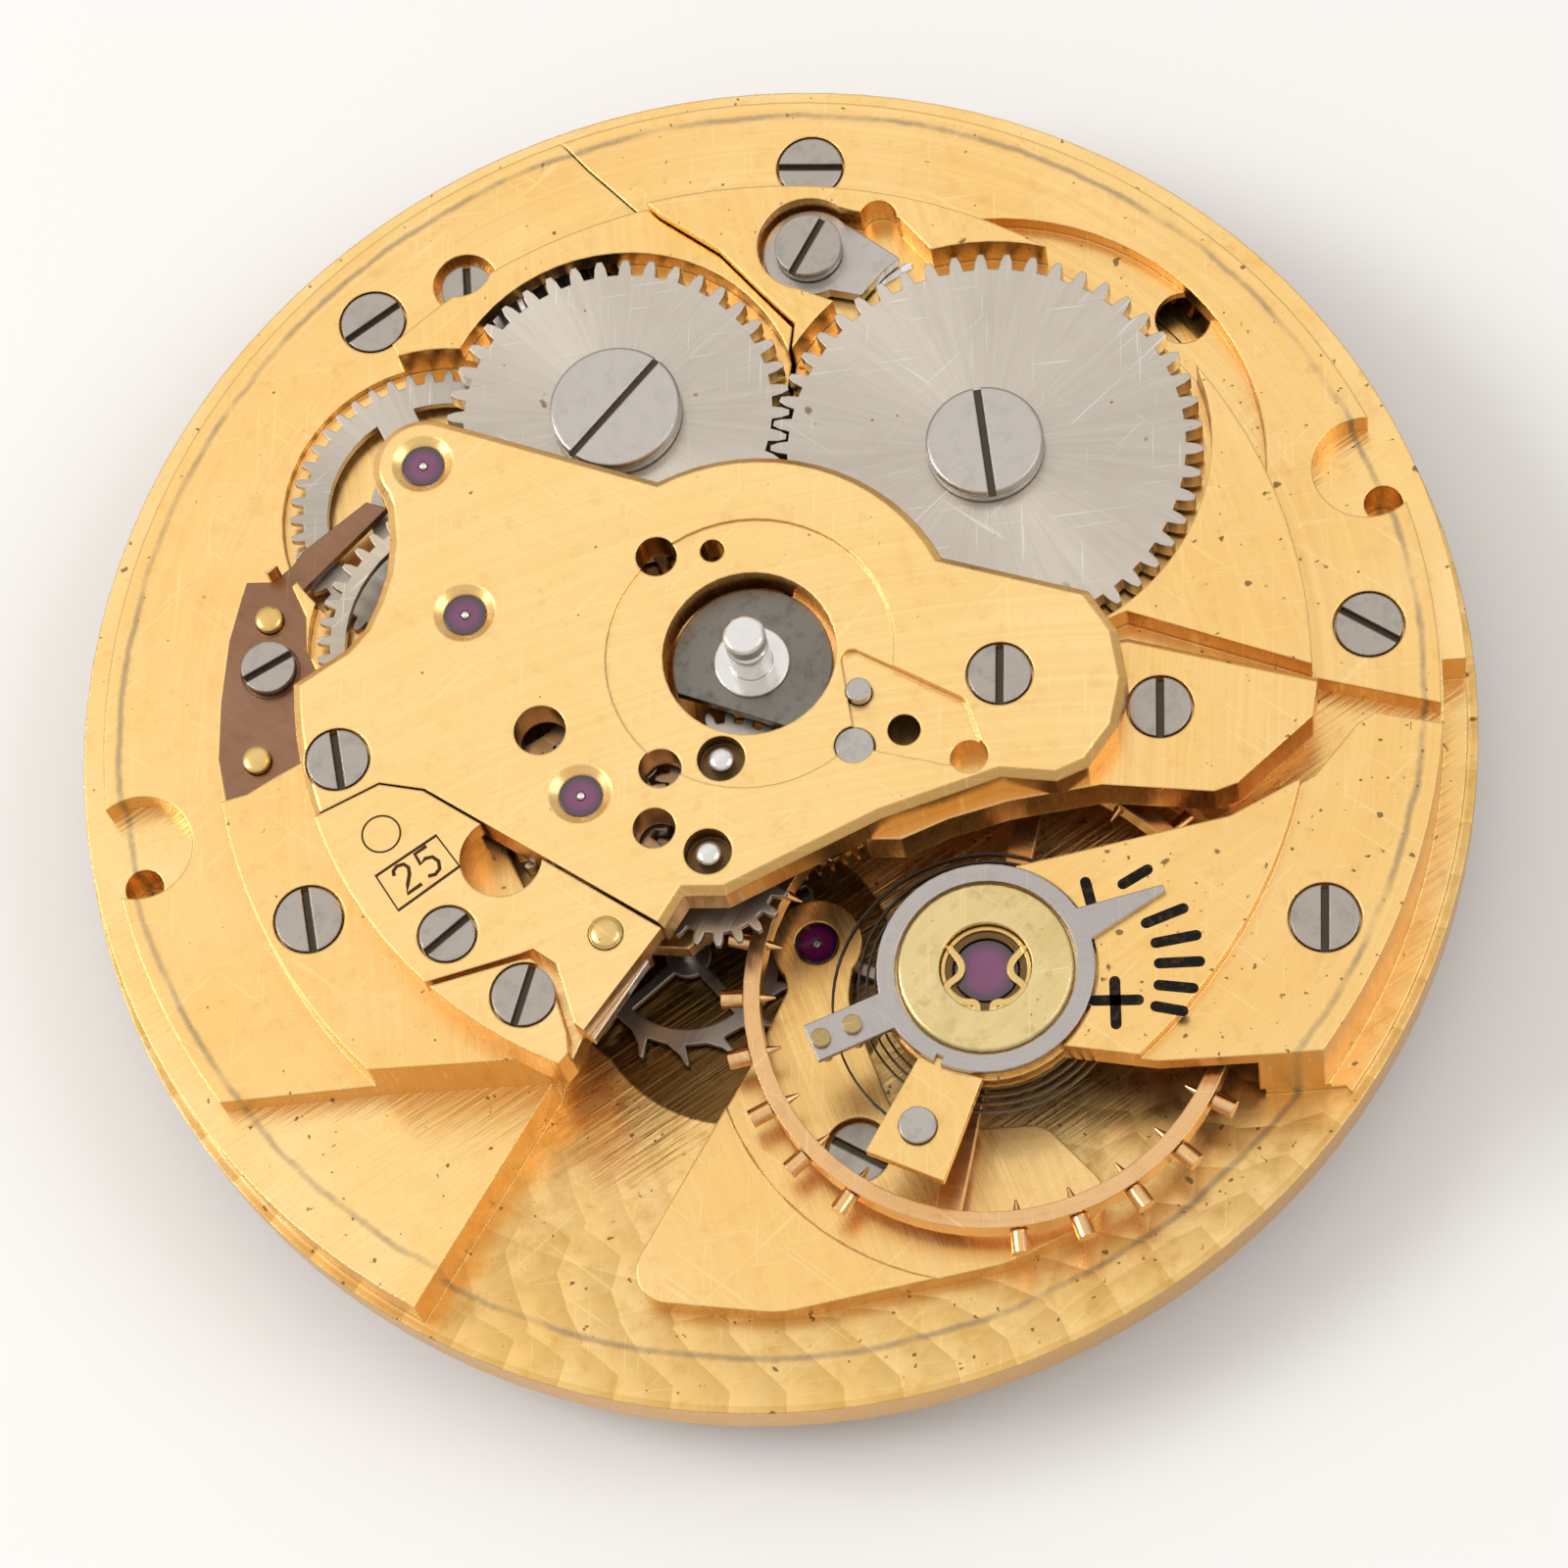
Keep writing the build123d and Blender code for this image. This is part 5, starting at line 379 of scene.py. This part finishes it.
def floor_gold(name):
    """The mainplate's gilt: polished spots on its floor, painted shade on one side of each spot, in the two
    wells, on the walls and lower down, stains and dirt.
    """
    n = Nodes(name)
    z = n.height()
    radius, angle = n.polar(CENTRE)
    first, lit_one = spot_row(n, radius, angle, 0.0)
    second, lit_two = spot_row(n, radius, angle, 0.5)
    cup = n.most(first, second)
    lit = n.mix(n.math("GREATER_THAN", second, first), n.join(lit_one, lit_one, lit_one),
                n.join(lit_two, lit_two, lit_two))
    unlit = n.minus(1.0, n.ramp(lit, -0.5, 0.5))
    large = n.noise(n.moved(), 0.4, 3.0, 0.6)
    blot = n.noise(n.moved(), 2.2, 4.0, 0.65)
    shelf = n.lines(8, 9.0)
    floor = n.times(n.ramp(z, *FLOOR_LOW), n.minus(1.0, n.ramp(z, *FLOOR_HIGH)))
    spotted = n.times(floor, n.ramp(radius, SPOTS_START_R, SPOTS_FULL_R))
    tone = n.mix(n.ramp(large, 0.35, 0.7, 0.0, 0.5), GOLD, GOLD_PALE)
    tone = n.mix(n.times(unlit, n.times(spotted, 0.55)), tone, FLOOR_SHADE)
    # painted shade: the floor is darker the lower it lies
    tone = n.mix(n.minus(1.0, n.ramp(z, 0.3, 0.9, 0.25, 1.0)), tone, FLOOR_DEPTH_SHADE)
    tone = n.mix(n.times(floor, n.ramp(blot, 0.42, 0.75, 0.0, 0.55)), tone, FLOOR_STAIN)
    tone = n.mix(n.ramp(blot, 0.56, 0.8, 0.0, 0.4), tone, GOLD_DEEP)
    tone = n.mix(n.times(n.scratches(0.69), 0.3), tone, GOLD_PALE)
    # painted shade in the two wells, below the floor's top
    wells = n.most(*[n.math("LESS_THAN", n.polar(place)[0], size) for place, size in WELLS])
    wells = n.times(wells, n.minus(1.0, n.ramp(z, 0.75, 1.3)))
    tone = n.mix(n.times(wells, 0.85), tone, WELL_SHADE)
    dots = n.most(n.specks(2.0, 0.73), n.specks(4.6, 0.70))
    tone = n.mix(n.times(dots, 0.8), tone, DIRT)
    # painted shade: the floor's walls, which do not face up, take a darker colour
    tone = n.mix(n.facing_up(0.5), FLOOR_WALL_SHADE, tone)
    n.set(Base_Color=rim_worn(n, tone), Metallic=1.0, Roughness=n.ramp(blot, 0.3, 0.7, 0.22, 0.36),
          Normal=n.bump(n.mix(spotted, shelf, cup), 0.45, 0.05, n.soft_edge(0.05)))
    return n.mat


def painted_hole_shade(n, tone):
    # painted shade inside the holes, below the top bridge's top face
    spots = n.most(*[n.math("LESS_THAN", n.polar(place)[0], size) for place, size in SHADED_HOLES])
    deep = n.minus(1.0, n.ramp(n.height(), 4.45, 4.66))
    return n.mix(n.times(n.times(spots, deep), 0.92), tone, HOLE_SHADE)


def shock_floor(n, tone):
    # darker on the floor of the shock setting's well
    inside = n.math("LESS_THAN", n.polar(BALANCE)[0], SHOCK_WELL_R)
    floor = n.times(n.near(n.height(), SHOCK_FLOOR, ON_FLOOR), inside)
    return n.mix(n.times(floor, 0.9), tone, SHOCK_WELL_DARK)


def bridge_gold(name, grain, colour=GOLD, rim=True, specks=0.06):
    def extra(n, tone):
        return painted_hole_shade(n, rim_worn(n, tone) if rim else tone)
    return metal(name, (colour, GOLD_DEEP, GOLD_PALE), grain, 0.27, 0.06, specks, 0.3, extra, GOLD_WALL_SHADE)


def plain_gold(name, colour, rough):
    return metal(name, (colour, GOLD_DEEP, GOLD_PALE), brushed(90.0, 10.0), rough, 0.04, 0.04)


def ruby_material(name):
    # a dark ring at each jewel's rim, a lighter violet towards its middle
    n = Nodes(name)
    glow = n.noise(n.moved(), 1.6, 2.0, 0.5)
    middles = []
    for place, size in JEWEL_SPOTS:
        middles.append(n.minus(1.0, n.ramp(n.polar(place)[0], size * 0.55, size * 0.92)))
    tone = n.mix(glow, (0.075, 0.004, 0.045), (0.17, 0.012, 0.10))
    tone = n.mix(n.minus(1.0, n.most(*middles)), tone, (0.022, 0.003, 0.014))
    n.set(Base_Color=tone, Metallic=0.0, Roughness=0.07, Coat_Weight=0.3, IOR=1.77,
          Specular_IOR_Level=0.5, Normal=n.soft_edge(0.04))
    return n.mat


def ink(name, colour):
    n = Nodes(name)
    worn = n.noise(n.moved(), 9.0, 3.0, 0.6)
    n.set(Base_Color=n.mix(n.ramp(worn, 0.5, 0.8), colour, INK_WORN), Metallic=0.0, Specular_IOR_Level=0.15,
          Roughness=n.ramp(worn, 0.3, 0.7, 0.6, 0.85), Normal=n.bump(worn, 0.5, 0.02))
    return n.mat


def brushed(turn, fineness, length=0.35):
    return lambda n: n.lines(turn, fineness, length)


def turned(place, fineness, wobble=1.0):
    return lambda n: n.rings(place, fineness, wobble)


def turned_and_brushed(inner_turn):
    # turned rings outside the rotor's track, straight brushing inside it
    def grain(n):
        outside = n.ramp(n.polar(CENTRE)[0], *ROTOR_TRACK_R)
        return n.mix(outside, n.lines(inner_turn, 8.0), n.rings(CENTRE, 7.0, 1.0))
    return grain


WIDE_ARCS = turned((-6.0, -26.0), 9.0, 1.5)
SCREW = polished("screw_steel", (0.42, 0.375, 0.33), 0.24, 0.35, scratch=0.3, slots=True)
WHEEL_SCREW = polished("wheel_screw_steel", (0.52, 0.48, 0.44), 0.27, 0.2, scratch=0.35, slots=True)
BRIGHT = polished("bright_steel", (0.75, 0.73, 0.70), 0.1, 0.1)
CLICK_STEEL = polished("click_steel", (0.50, 0.46, 0.42), 0.3, 0.3, scratch=0.3)
PLUG = polished("plug_steel", (0.48, 0.44, 0.40), 0.22, 0.4)
DARK = polished("dark_disc", (0.21, 0.19, 0.165), 0.34, 0.75, dark=(0.07, 0.065, 0.06), scratch=0.35)
SPRING = polished("spring_steel", (0.06, 0.05, 0.045), 0.3, 0.1, edge=0.0)
BRASS = plain_gold("yellow_brass", (0.72, 0.50, 0.17), 0.24)
OLD_BRASS = plain_gold("old_brass", (0.30, 0.22, 0.09), 0.28)
SHOCK = metal("shock_brass", ((0.72, 0.55, 0.24), (0.38, 0.25, 0.09), (0.92, 0.76, 0.42)),
              brushed(20, 6.0, 1.2), 0.28, 0.05, 0.07, 0.6, shock_floor)
ROSE = metal("rose_rim", ((0.80, 0.47, 0.20), (0.45, 0.20, 0.06), (0.98, 0.70, 0.42)),
             turned(BALANCE, 12.0), 0.2, 0.03, 0.03)
BROWN = metal("brown_guard", ((0.27, 0.14, 0.08), (0.12, 0.06, 0.035), (0.42, 0.25, 0.16)),
              brushed(110, 7.0, 0.8), 0.3, 0.04, 0.03)
LAVENDER = metal("regulator_steel", ((0.46, 0.42, 0.40), (0.30, 0.26, 0.24), (0.58, 0.54, 0.51)),
                 turned(BALANCE, 14.0), 0.24, 0.04, 0.02)
RUBY = ruby_material("ruby")
INK = ink("black_fill", (0.004, 0.003, 0.002))
BROWN_LINE = ink("brown_line", (0.05, 0.02, 0.006))

MATERIALS = {
    "mainplate": floor_gold("gilt_floor"),
    "barrel_bridge": bridge_gold("gilt_barrel_bridge", turned_and_brushed(80), specks=0.075),
    "train_bridge": bridge_gold("gilt_train_bridge", turned_and_brushed(70)),
    "balance_cock": bridge_gold("gilt_cock", turned_and_brushed(10), specks=0.085),
    "automatic_bridge": bridge_gold("peach_top", WIDE_ARCS, PEACH, rim=False, specks=0.03),
    "tail_plate": bridge_gold("gilt_tail", brushed(60, 10.0), rim=False),
    "cover_plate": bridge_gold("peach_cover", WIDE_ARCS, PEACH, rim=False, specks=0.03),
    "cover_base": bridge_gold("peach_base", WIDE_ARCS, PEACH, rim=False, specks=0.03),
    "pallet_bridge": bridge_gold("gilt_pallet", brushed(85, 11.0), rim=False, specks=0.02),
    "stud_carrier": plain_gold("gilt_carrier", GOLD, 0.22),
    "crown_wheel": steel_wheel("crown_steel", CROWN),
    "ratchet_wheel": steel_wheel("ratchet_steel", BARREL),
    "slotted_wheel": steel_wheel("slotted_steel", SLOTTED, (0.44, 0.39, 0.33), (0.56, 0.50, 0.43), False),
    "spoked_wheel": steel_wheel("spoked_steel", SPOKED, (0.48, 0.41, 0.32), (0.62, 0.54, 0.43), False),
    "crown_wheel_screw": WHEEL_SCREW, "ratchet_screw": WHEEL_SCREW, "click": CLICK_STEEL,
    "bridge_screws": SCREW, "automatic_screws": SCREW, "small_screws": SCREW,
    "click_spring": BRIGHT, "locking_bar": BRIGHT, "hairspring": SPRING, "hairspring_stud": PLUG,
    "shock_block": SHOCK, "shock_spring": BRASS, "steel_pins": PLUG, "post_disc": DARK,
    "rotor_post": BRIGHT, "wheel_guard": BROWN, "brass_pins": BRASS, "jewels": RUBY,
    "pallet_stones": RUBY, "balance_wheel": ROSE, "timing_screws": ROSE, "balance_staff": BRIGHT,
    "roller": BRIGHT, "regulator": LAVENDER, "regulator_pins": OLD_BRASS, "mainspring": SPRING,
}
STEEL_WORDS = ("reverser", "driving", "pinion", "lever", "clutch", "escape", "pallet", "barrel_arbor")
for node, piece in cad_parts.items():
    plain = WHEEL_SCREW if any(word in node for word in STEEL_WORDS) else BRASS
    piece.data.materials.clear()
    piece.data.materials.append(MATERIALS.get(node, plain))


class Shape:
    """Gathers prisms, turned forms and ribbons into one mesh."""

    def __init__(self):
        self.verts = []
        self.faces = []

    def prism(self, outline, bottom, top):
        base = len(self.verts)
        n = len(outline)
        self.verts += [(x, y, bottom) for x, y in outline] + [(x, y, top) for x, y in outline]
        self.faces += [tuple(range(base + n - 1, base - 1, -1)), tuple(range(base + n, base + 2 * n))]
        for i in range(n):
            j = (i + 1) % n
            self.faces.append((base + i, base + j, base + n + j, base + n + i))

    def turned(self, place, profile, sides=48):
        rings = []
        for radius, z in profile:
            start = len(self.verts)
            count = sides if radius else 1
            self.verts += [(*polar(place, radius, 360 * i / sides), z) for i in range(count)]
            rings.append(list(range(start, start + count)))
        for a, b in zip(rings, rings[1:]):
            for i in range(sides):
                j = (i + 1) % sides
                face = (a[i % len(a)], a[j % len(a)], b[j % len(b)], b[i % len(b)])
                self.faces.append(tuple(dict.fromkeys(face)))

    def dome(self, place, radius, foot, rise):
        profile = [(radius, foot)]
        for turn in (18, 36, 54, 72):
            angle = math.radians(turn)
            profile.append((radius * math.cos(angle), foot + rise * math.sin(angle)))
        self.turned(place, profile + [(0, foot + rise)])

    def ribbon(self, path, width, bottom, top, closed=False):
        base = len(self.verts)
        n = len(path)
        for i, (x, y) in enumerate(path):
            before = path[i - 1] if closed or i else path[i]
            after = path[(i + 1) % n] if closed or i < n - 1 else path[i]
            dx, dy = after[0] - before[0], after[1] - before[1]
            reach = math.hypot(dx, dy) or 1.0
            ox, oy = -dy / reach * width / 2, dx / reach * width / 2
            left, right = (x + ox, y + oy), (x - ox, y - oy)
            self.verts += [(*left, bottom), (*right, bottom), (*right, top), (*left, top)]
        for i in range(n if closed else n - 1):
            a, b = base + 4 * i, base + 4 * ((i + 1) % n)
            self.faces += [(a + k, a + (k + 1) % 4, b + (k + 1) % 4, b + k) for k in range(4)]
        if not closed:
            end = base + 4 * n
            self.faces += [(base, base + 1, base + 2, base + 3), (end - 1, end - 2, end - 3, end - 4)]

    def stroke(self, start, end, width, bottom, top):
        # a straight stroke with round ends
        line = math.degrees(math.atan2(end[1] - start[1], end[0] - start[0]))
        outline = [polar(end, width / 2, line - 90 + 30 * i) for i in range(7)]
        outline += [polar(start, width / 2, line + 90 + 30 * i) for i in range(7)]
        self.prism(outline, bottom, top)

    def piece(self, name, material, slot, body="frame", smooth=False):
        mesh = bpy.data.meshes.new(name)
        mesh.from_pydata([(x * MM, y * MM, z * MM) for x, y, z in self.verts], [], self.faces)
        bm = bmesh.new()
        bm.from_mesh(mesh)
        bmesh.ops.recalc_face_normals(bm, faces=bm.faces)
        bm.to_mesh(mesh)
        bm.free()
        mesh.polygons.foreach_set("use_smooth", [smooth] * len(mesh.polygons))
        mesh.materials.append(material)
        obj = bpy.data.objects.new(name, mesh)
        bpy.context.collection.objects.link(obj)
        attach(obj, body)
        return obj


# engraved marks on the cock: minus, index strokes and plus
STROKES = (
    ((3.456, -6.313), (3.36, -6.73)), ((4.02, -6.66), (4.53, -6.62)), ((4.05, -7.50), (4.75, -7.56)),
    ((4.03, -7.905), (4.72, -8.11)), ((3.91, -8.27), (4.55, -8.57)), ((3.72, -8.625), (4.22, -8.955)),
    ((3.49, -8.945), (3.87, -9.245)), ((3.07, -8.20), (2.73, -8.915)), ((2.59, -8.35), (3.28, -8.70)),
)
STROKE_WIDTH = 0.195
STROKE_HEIGHTS = (3.494, 3.505)
marks = Shape()
for start, end in STROKES:
    marks.stroke(start, end, STROKE_WIDTH, *STROKE_HEIGHTS)
marks.piece("index_marks", INK, slot="dark_steel")

# a boxed plain number and a ring mark on the cover plate
BOX = ((-7.725, -0.716), (-6.451, -0.526), (-6.318, -1.257), (-7.63, -1.497))
BOX_WIDTH = 0.06
DIGITS = (
    ((0, 1.25), (0.1, 1.5), (0.4, 1.62), (0.75, 1.5), (0.86, 1.2), (0.7, 0.85), (0.3, 0.42), (0, 0),
     (0.92, 0)),
    ((0.86, 1.6), (0.12, 1.6), (0.05, 0.95), (0.42, 1.06), (0.78, 0.9), (0.9, 0.5), (0.72, 0.12),
     (0.36, 0), (0, 0.15)),
)
DIGIT_WIDTH = 0.07
DIGIT_SCALE = 0.34
DIGIT_STEP = 0.48
FIRST_FOOT = Vector((-7.36, -1.29))
ALONG, UPWARD = Vector((0.986, 0.165)), Vector((-0.165, 0.986))
RING_MARK = (-7.314, -0.033)
RING_MARK_R = 0.345
RING_MARK_WIDTH = 0.035
NUMBER_HEIGHTS = (4.694, 4.704)
number = Shape()
number.ribbon(BOX, BOX_WIDTH, *NUMBER_HEIGHTS, closed=True)
for count, digit in enumerate(DIGITS):
    foot = FIRST_FOOT + ALONG * (DIGIT_STEP * count)
    path = [tuple(foot + ALONG * (DIGIT_SCALE * x) + UPWARD * (DIGIT_SCALE * y)) for x, y in digit]
    number.ribbon(path, DIGIT_WIDTH, *NUMBER_HEIGHTS)
ring = [polar(RING_MARK, RING_MARK_R, 10 * i) for i in range(36)]
number.ribbon(ring, RING_MARK_WIDTH, *NUMBER_HEIGHTS, closed=True)
number.piece("number_marks", BROWN_LINE, slot="dark_steel")

# rounded ends of the brass pins and the steel pins: place, radius, foot, rise
BRASS_ENDS = (
    (at(-0.355, -0.283), 0.28, 4.73, 0.07), (at(-0.584, 0.429), 0.235, 3.22, 0.04),
    (at(-0.687, 0.237), 0.235, 3.22, 0.04),
)
STEEL_ENDS = tuple((place, 0.21, 4.6, 0.06) for place in STEEL_PINS)
domes = Shape()
for end in BRASS_ENDS:
    domes.dome(*end)
domes.piece("pin_domes", BRASS, slot="yellow_brass", smooth=True)
heads = Shape()
for end in STEEL_ENDS:
    heads.dome(*end)
heads.piece("steel_heads", BRIGHT, slot="bright_steel", smooth=True)

# bright ends of the pivots in the three upper jewels: radius, height
TIP_PROFILE = ((0.075, 4.5), (0.078, 4.59), (0.065, 4.615), (0.035, 4.63), (0, 4.635))
for body, place in UPPER_JEWELS.items():
    tip = Shape()
    tip.turned(place, TIP_PROFILE, 20)
    tip.piece(body + "_pivot_tip", BRIGHT, body=body, slot="bright_steel", smooth=True)

# hairspring: a dense flat spiral, then a curve out to the stud
COIL_TURNS = 13.0
STEPS_PER_TURN = 48
COIL_STEPS = int(COIL_TURNS * STEPS_PER_TURN)
COIL_START_R = 0.5
COIL_GROWTH = 1.95
COIL_END_R = 2.45
STUD_REACH = 0.56
STUD_TURN = 220.7
LAST_ARC = 150
ARC_STEPS = 30
COIL_WIDTH = 0.035
COIL_HEIGHTS = (2.63, 2.77)
spiral = []
for i in range(COIL_STEPS + 1):
    share = i / COIL_STEPS
    turn = STUD_TURN - LAST_ARC - 360 * COIL_TURNS * (1 - share)
    spiral.append(polar(BALANCE, COIL_START_R + COIL_GROWTH * share, turn))
for i in range(1, ARC_STEPS + 1):
    share = i / ARC_STEPS
    ease = share * share * (3 - 2 * share)
    spiral.append(polar(BALANCE, COIL_END_R + STUD_REACH * ease, STUD_TURN - LAST_ARC * (1 - share)))
coil = Shape()
coil.ribbon(spiral, COIL_WIDTH, *COIL_HEIGHTS)
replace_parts(coil.piece("hairspring_coil", SPRING, slot="spring_steel"), "hairspring")


def lyre_spot(u, v):
    """A place on the lyre spring, whose own axes are tilted round the balance."""
    return polar(BALANCE, math.hypot(u, v), math.degrees(math.atan2(v, u)) + LYRE_TILT)


def smooth_path(points):
    for _ in range(3):
        fine = [points[0]]
        for (ax, ay), (bx, by) in zip(points, points[1:]):
            fine.append((ax * 0.75 + bx * 0.25, ay * 0.75 + by * 0.25))
            fine.append((ax * 0.25 + bx * 0.75, ay * 0.25 + by * 0.75))
        points = fine + [points[-1]]
    return points


# shock spring: a flat brass lyre whose two horns hold the cap jewel, in an open ring
LYRE_TILT = -28
HORN = (
    (0.13, -0.79), (0.15, -0.60), (0.42, -0.62), (0.66, -0.42), (0.70, -0.30), (0.44, -0.12),
    (0.42, 0.12), (0.64, 0.36), (0.66, 0.44),
)
HORN_WIDTH = 0.125
LYRE_R = 0.76
LYRE_RING_WIDTH = 0.07
LYRE_BOTTOM = 3.475
HORN_TOP = 3.535
LYRE_RING_TOP = 3.525
lyre = Shape()
for side in (-1, 1):
    path = [lyre_spot(side * u, v) for u, v in smooth_path(HORN)]
    lyre.ribbon(path, HORN_WIDTH, LYRE_BOTTOM, HORN_TOP)
ring = [lyre_spot(*polar(CENTRE, LYRE_R, turn)) for turn in range(-78, 259, 6)]
lyre.ribbon(ring, LYRE_RING_WIDTH, LYRE_BOTTOM, LYRE_RING_TOP)
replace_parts(lyre.piece("lyre_spring", BRASS, slot="yellow_brass"), "shock_spring")


def flat(name, size, place, material):
    half = size / 2
    corners = [(-half, -half, 0), (half, -half, 0), (half, half, 0), (-half, half, 0)]
    mesh = bpy.data.meshes.new(name)
    mesh.from_pydata(corners, [], [(0, 1, 2, 3)])
    mesh.materials.append(material)
    obj = bpy.data.objects.new(name, mesh)
    obj.location = place
    bpy.context.collection.objects.link(obj)
    return obj


# a plain pale floor just under the object, in metres
FLOOR_SIZE = 2.0
FLOOR_GAP = 0.00002
paper = Nodes("paper")
shade = paper.noise(paper.moved(), 0.02, 2.0, 0.5)
paper.set(Base_Color=paper.mix(shade, (0.71, 0.70, 0.685), (0.75, 0.74, 0.73)), Roughness=0.9,
          Specular_IOR_Level=0.1)
flat("floor", FLOOR_SIZE, (0, 0, CAD_BOX[0][2] - FLOOR_GAP), paper.mat)

# a studio sky that is brighter towards the top and a little brighter on one side
SKY_COLOUR = (1.0, 0.985, 0.96, 1.0)
SKY_BY_HEIGHT = (-0.1, 0.95, 0.35, 0.97)
SKY_BY_SIDE = (0.22, 0.50, 1.0, 1.22)
world = bpy.data.worlds.new("studio")
bpy.context.scene.world = world
world.use_nodes = True
sky = world.node_tree
sky.nodes.clear()
texture = sky.nodes.new("ShaderNodeTexCoord")
direction = sky.nodes.new("ShaderNodeSeparateXYZ")
sky.links.new(texture.outputs["Generated"], direction.inputs[0])
strength = sky.nodes.new("ShaderNodeMath")
strength.operation = "MULTIPLY"
for count, (axis, numbers) in enumerate(((2, SKY_BY_HEIGHT), (1, SKY_BY_SIDE))):
    span = sky.nodes.new("ShaderNodeMapRange")
    for socket, number in zip(span.inputs[1:5], numbers):
        socket.default_value = number
    sky.links.new(direction.outputs[axis], span.inputs[0])
    sky.links.new(span.outputs[0], strength.inputs[count])
backdrop = sky.nodes.new("ShaderNodeBackground")
backdrop.inputs["Color"].default_value = SKY_COLOUR
sky.links.new(strength.outputs[0], backdrop.inputs["Strength"])
output = sky.nodes.new("ShaderNodeOutputWorld")
sky.links.new(backdrop.outputs[0], output.inputs["Surface"])

# soft lamps that point at the object: name, place and size in metres, power in watts
LAMPS = (("key", (-0.17, 0.09, 0.17), 0.12, 0.36), ("fill", (0.18, -0.10, 0.22), 0.16, 0.20))
for name, place, size, power in LAMPS:
    light = bpy.data.lights.new(name, "AREA")
    light.shape = "SQUARE"
    light.size = size
    light.energy = power
    lamp = bpy.data.objects.new(name, light)
    lamp.location = place
    lamp.rotation_euler = (-Vector(place)).to_track_quat("-Z", "Y").to_euler()
    bpy.context.collection.objects.link(lamp)

# the photograph's camera, solved from the round rims and the places of the holes
AZIMUTH, ELEVATION, ROLL = math.radians(-9.74), math.radians(68.02), math.radians(-17.21)
TARGET = Vector((-0.224, -0.7145, 0))
DISTANCE = 90.3095
FOCAL_LENGTH = 110.745
SENSOR_WIDTH = 36
back_axis = Vector((math.sin(AZIMUTH) * math.cos(ELEVATION), -math.cos(AZIMUTH) * math.cos(ELEVATION),
                    math.sin(ELEVATION)))
flat_right = Vector((math.cos(AZIMUTH), math.sin(AZIMUTH), 0))
flat_up = back_axis.cross(flat_right)
right_axis = flat_right * math.cos(ROLL) + flat_up * math.sin(ROLL)
up_axis = back_axis.cross(right_axis)
lens = bpy.data.cameras.new("camera")
lens.lens = FOCAL_LENGTH
lens.sensor_width = SENSOR_WIDTH
lens.sensor_fit = "HORIZONTAL"
lens.clip_start = 0.002
lens.clip_end = 10
camera = bpy.data.objects.new("camera", lens)
axes = Matrix((right_axis, up_axis, back_axis)).transposed().to_4x4()
camera.matrix_world = Matrix.Translation(TARGET * MM + back_axis * DISTANCE * MM) @ axes
bpy.context.collection.objects.link(camera)
bpy.context.scene.camera = camera
bpy.context.scene.view_settings.view_transform = "Standard"
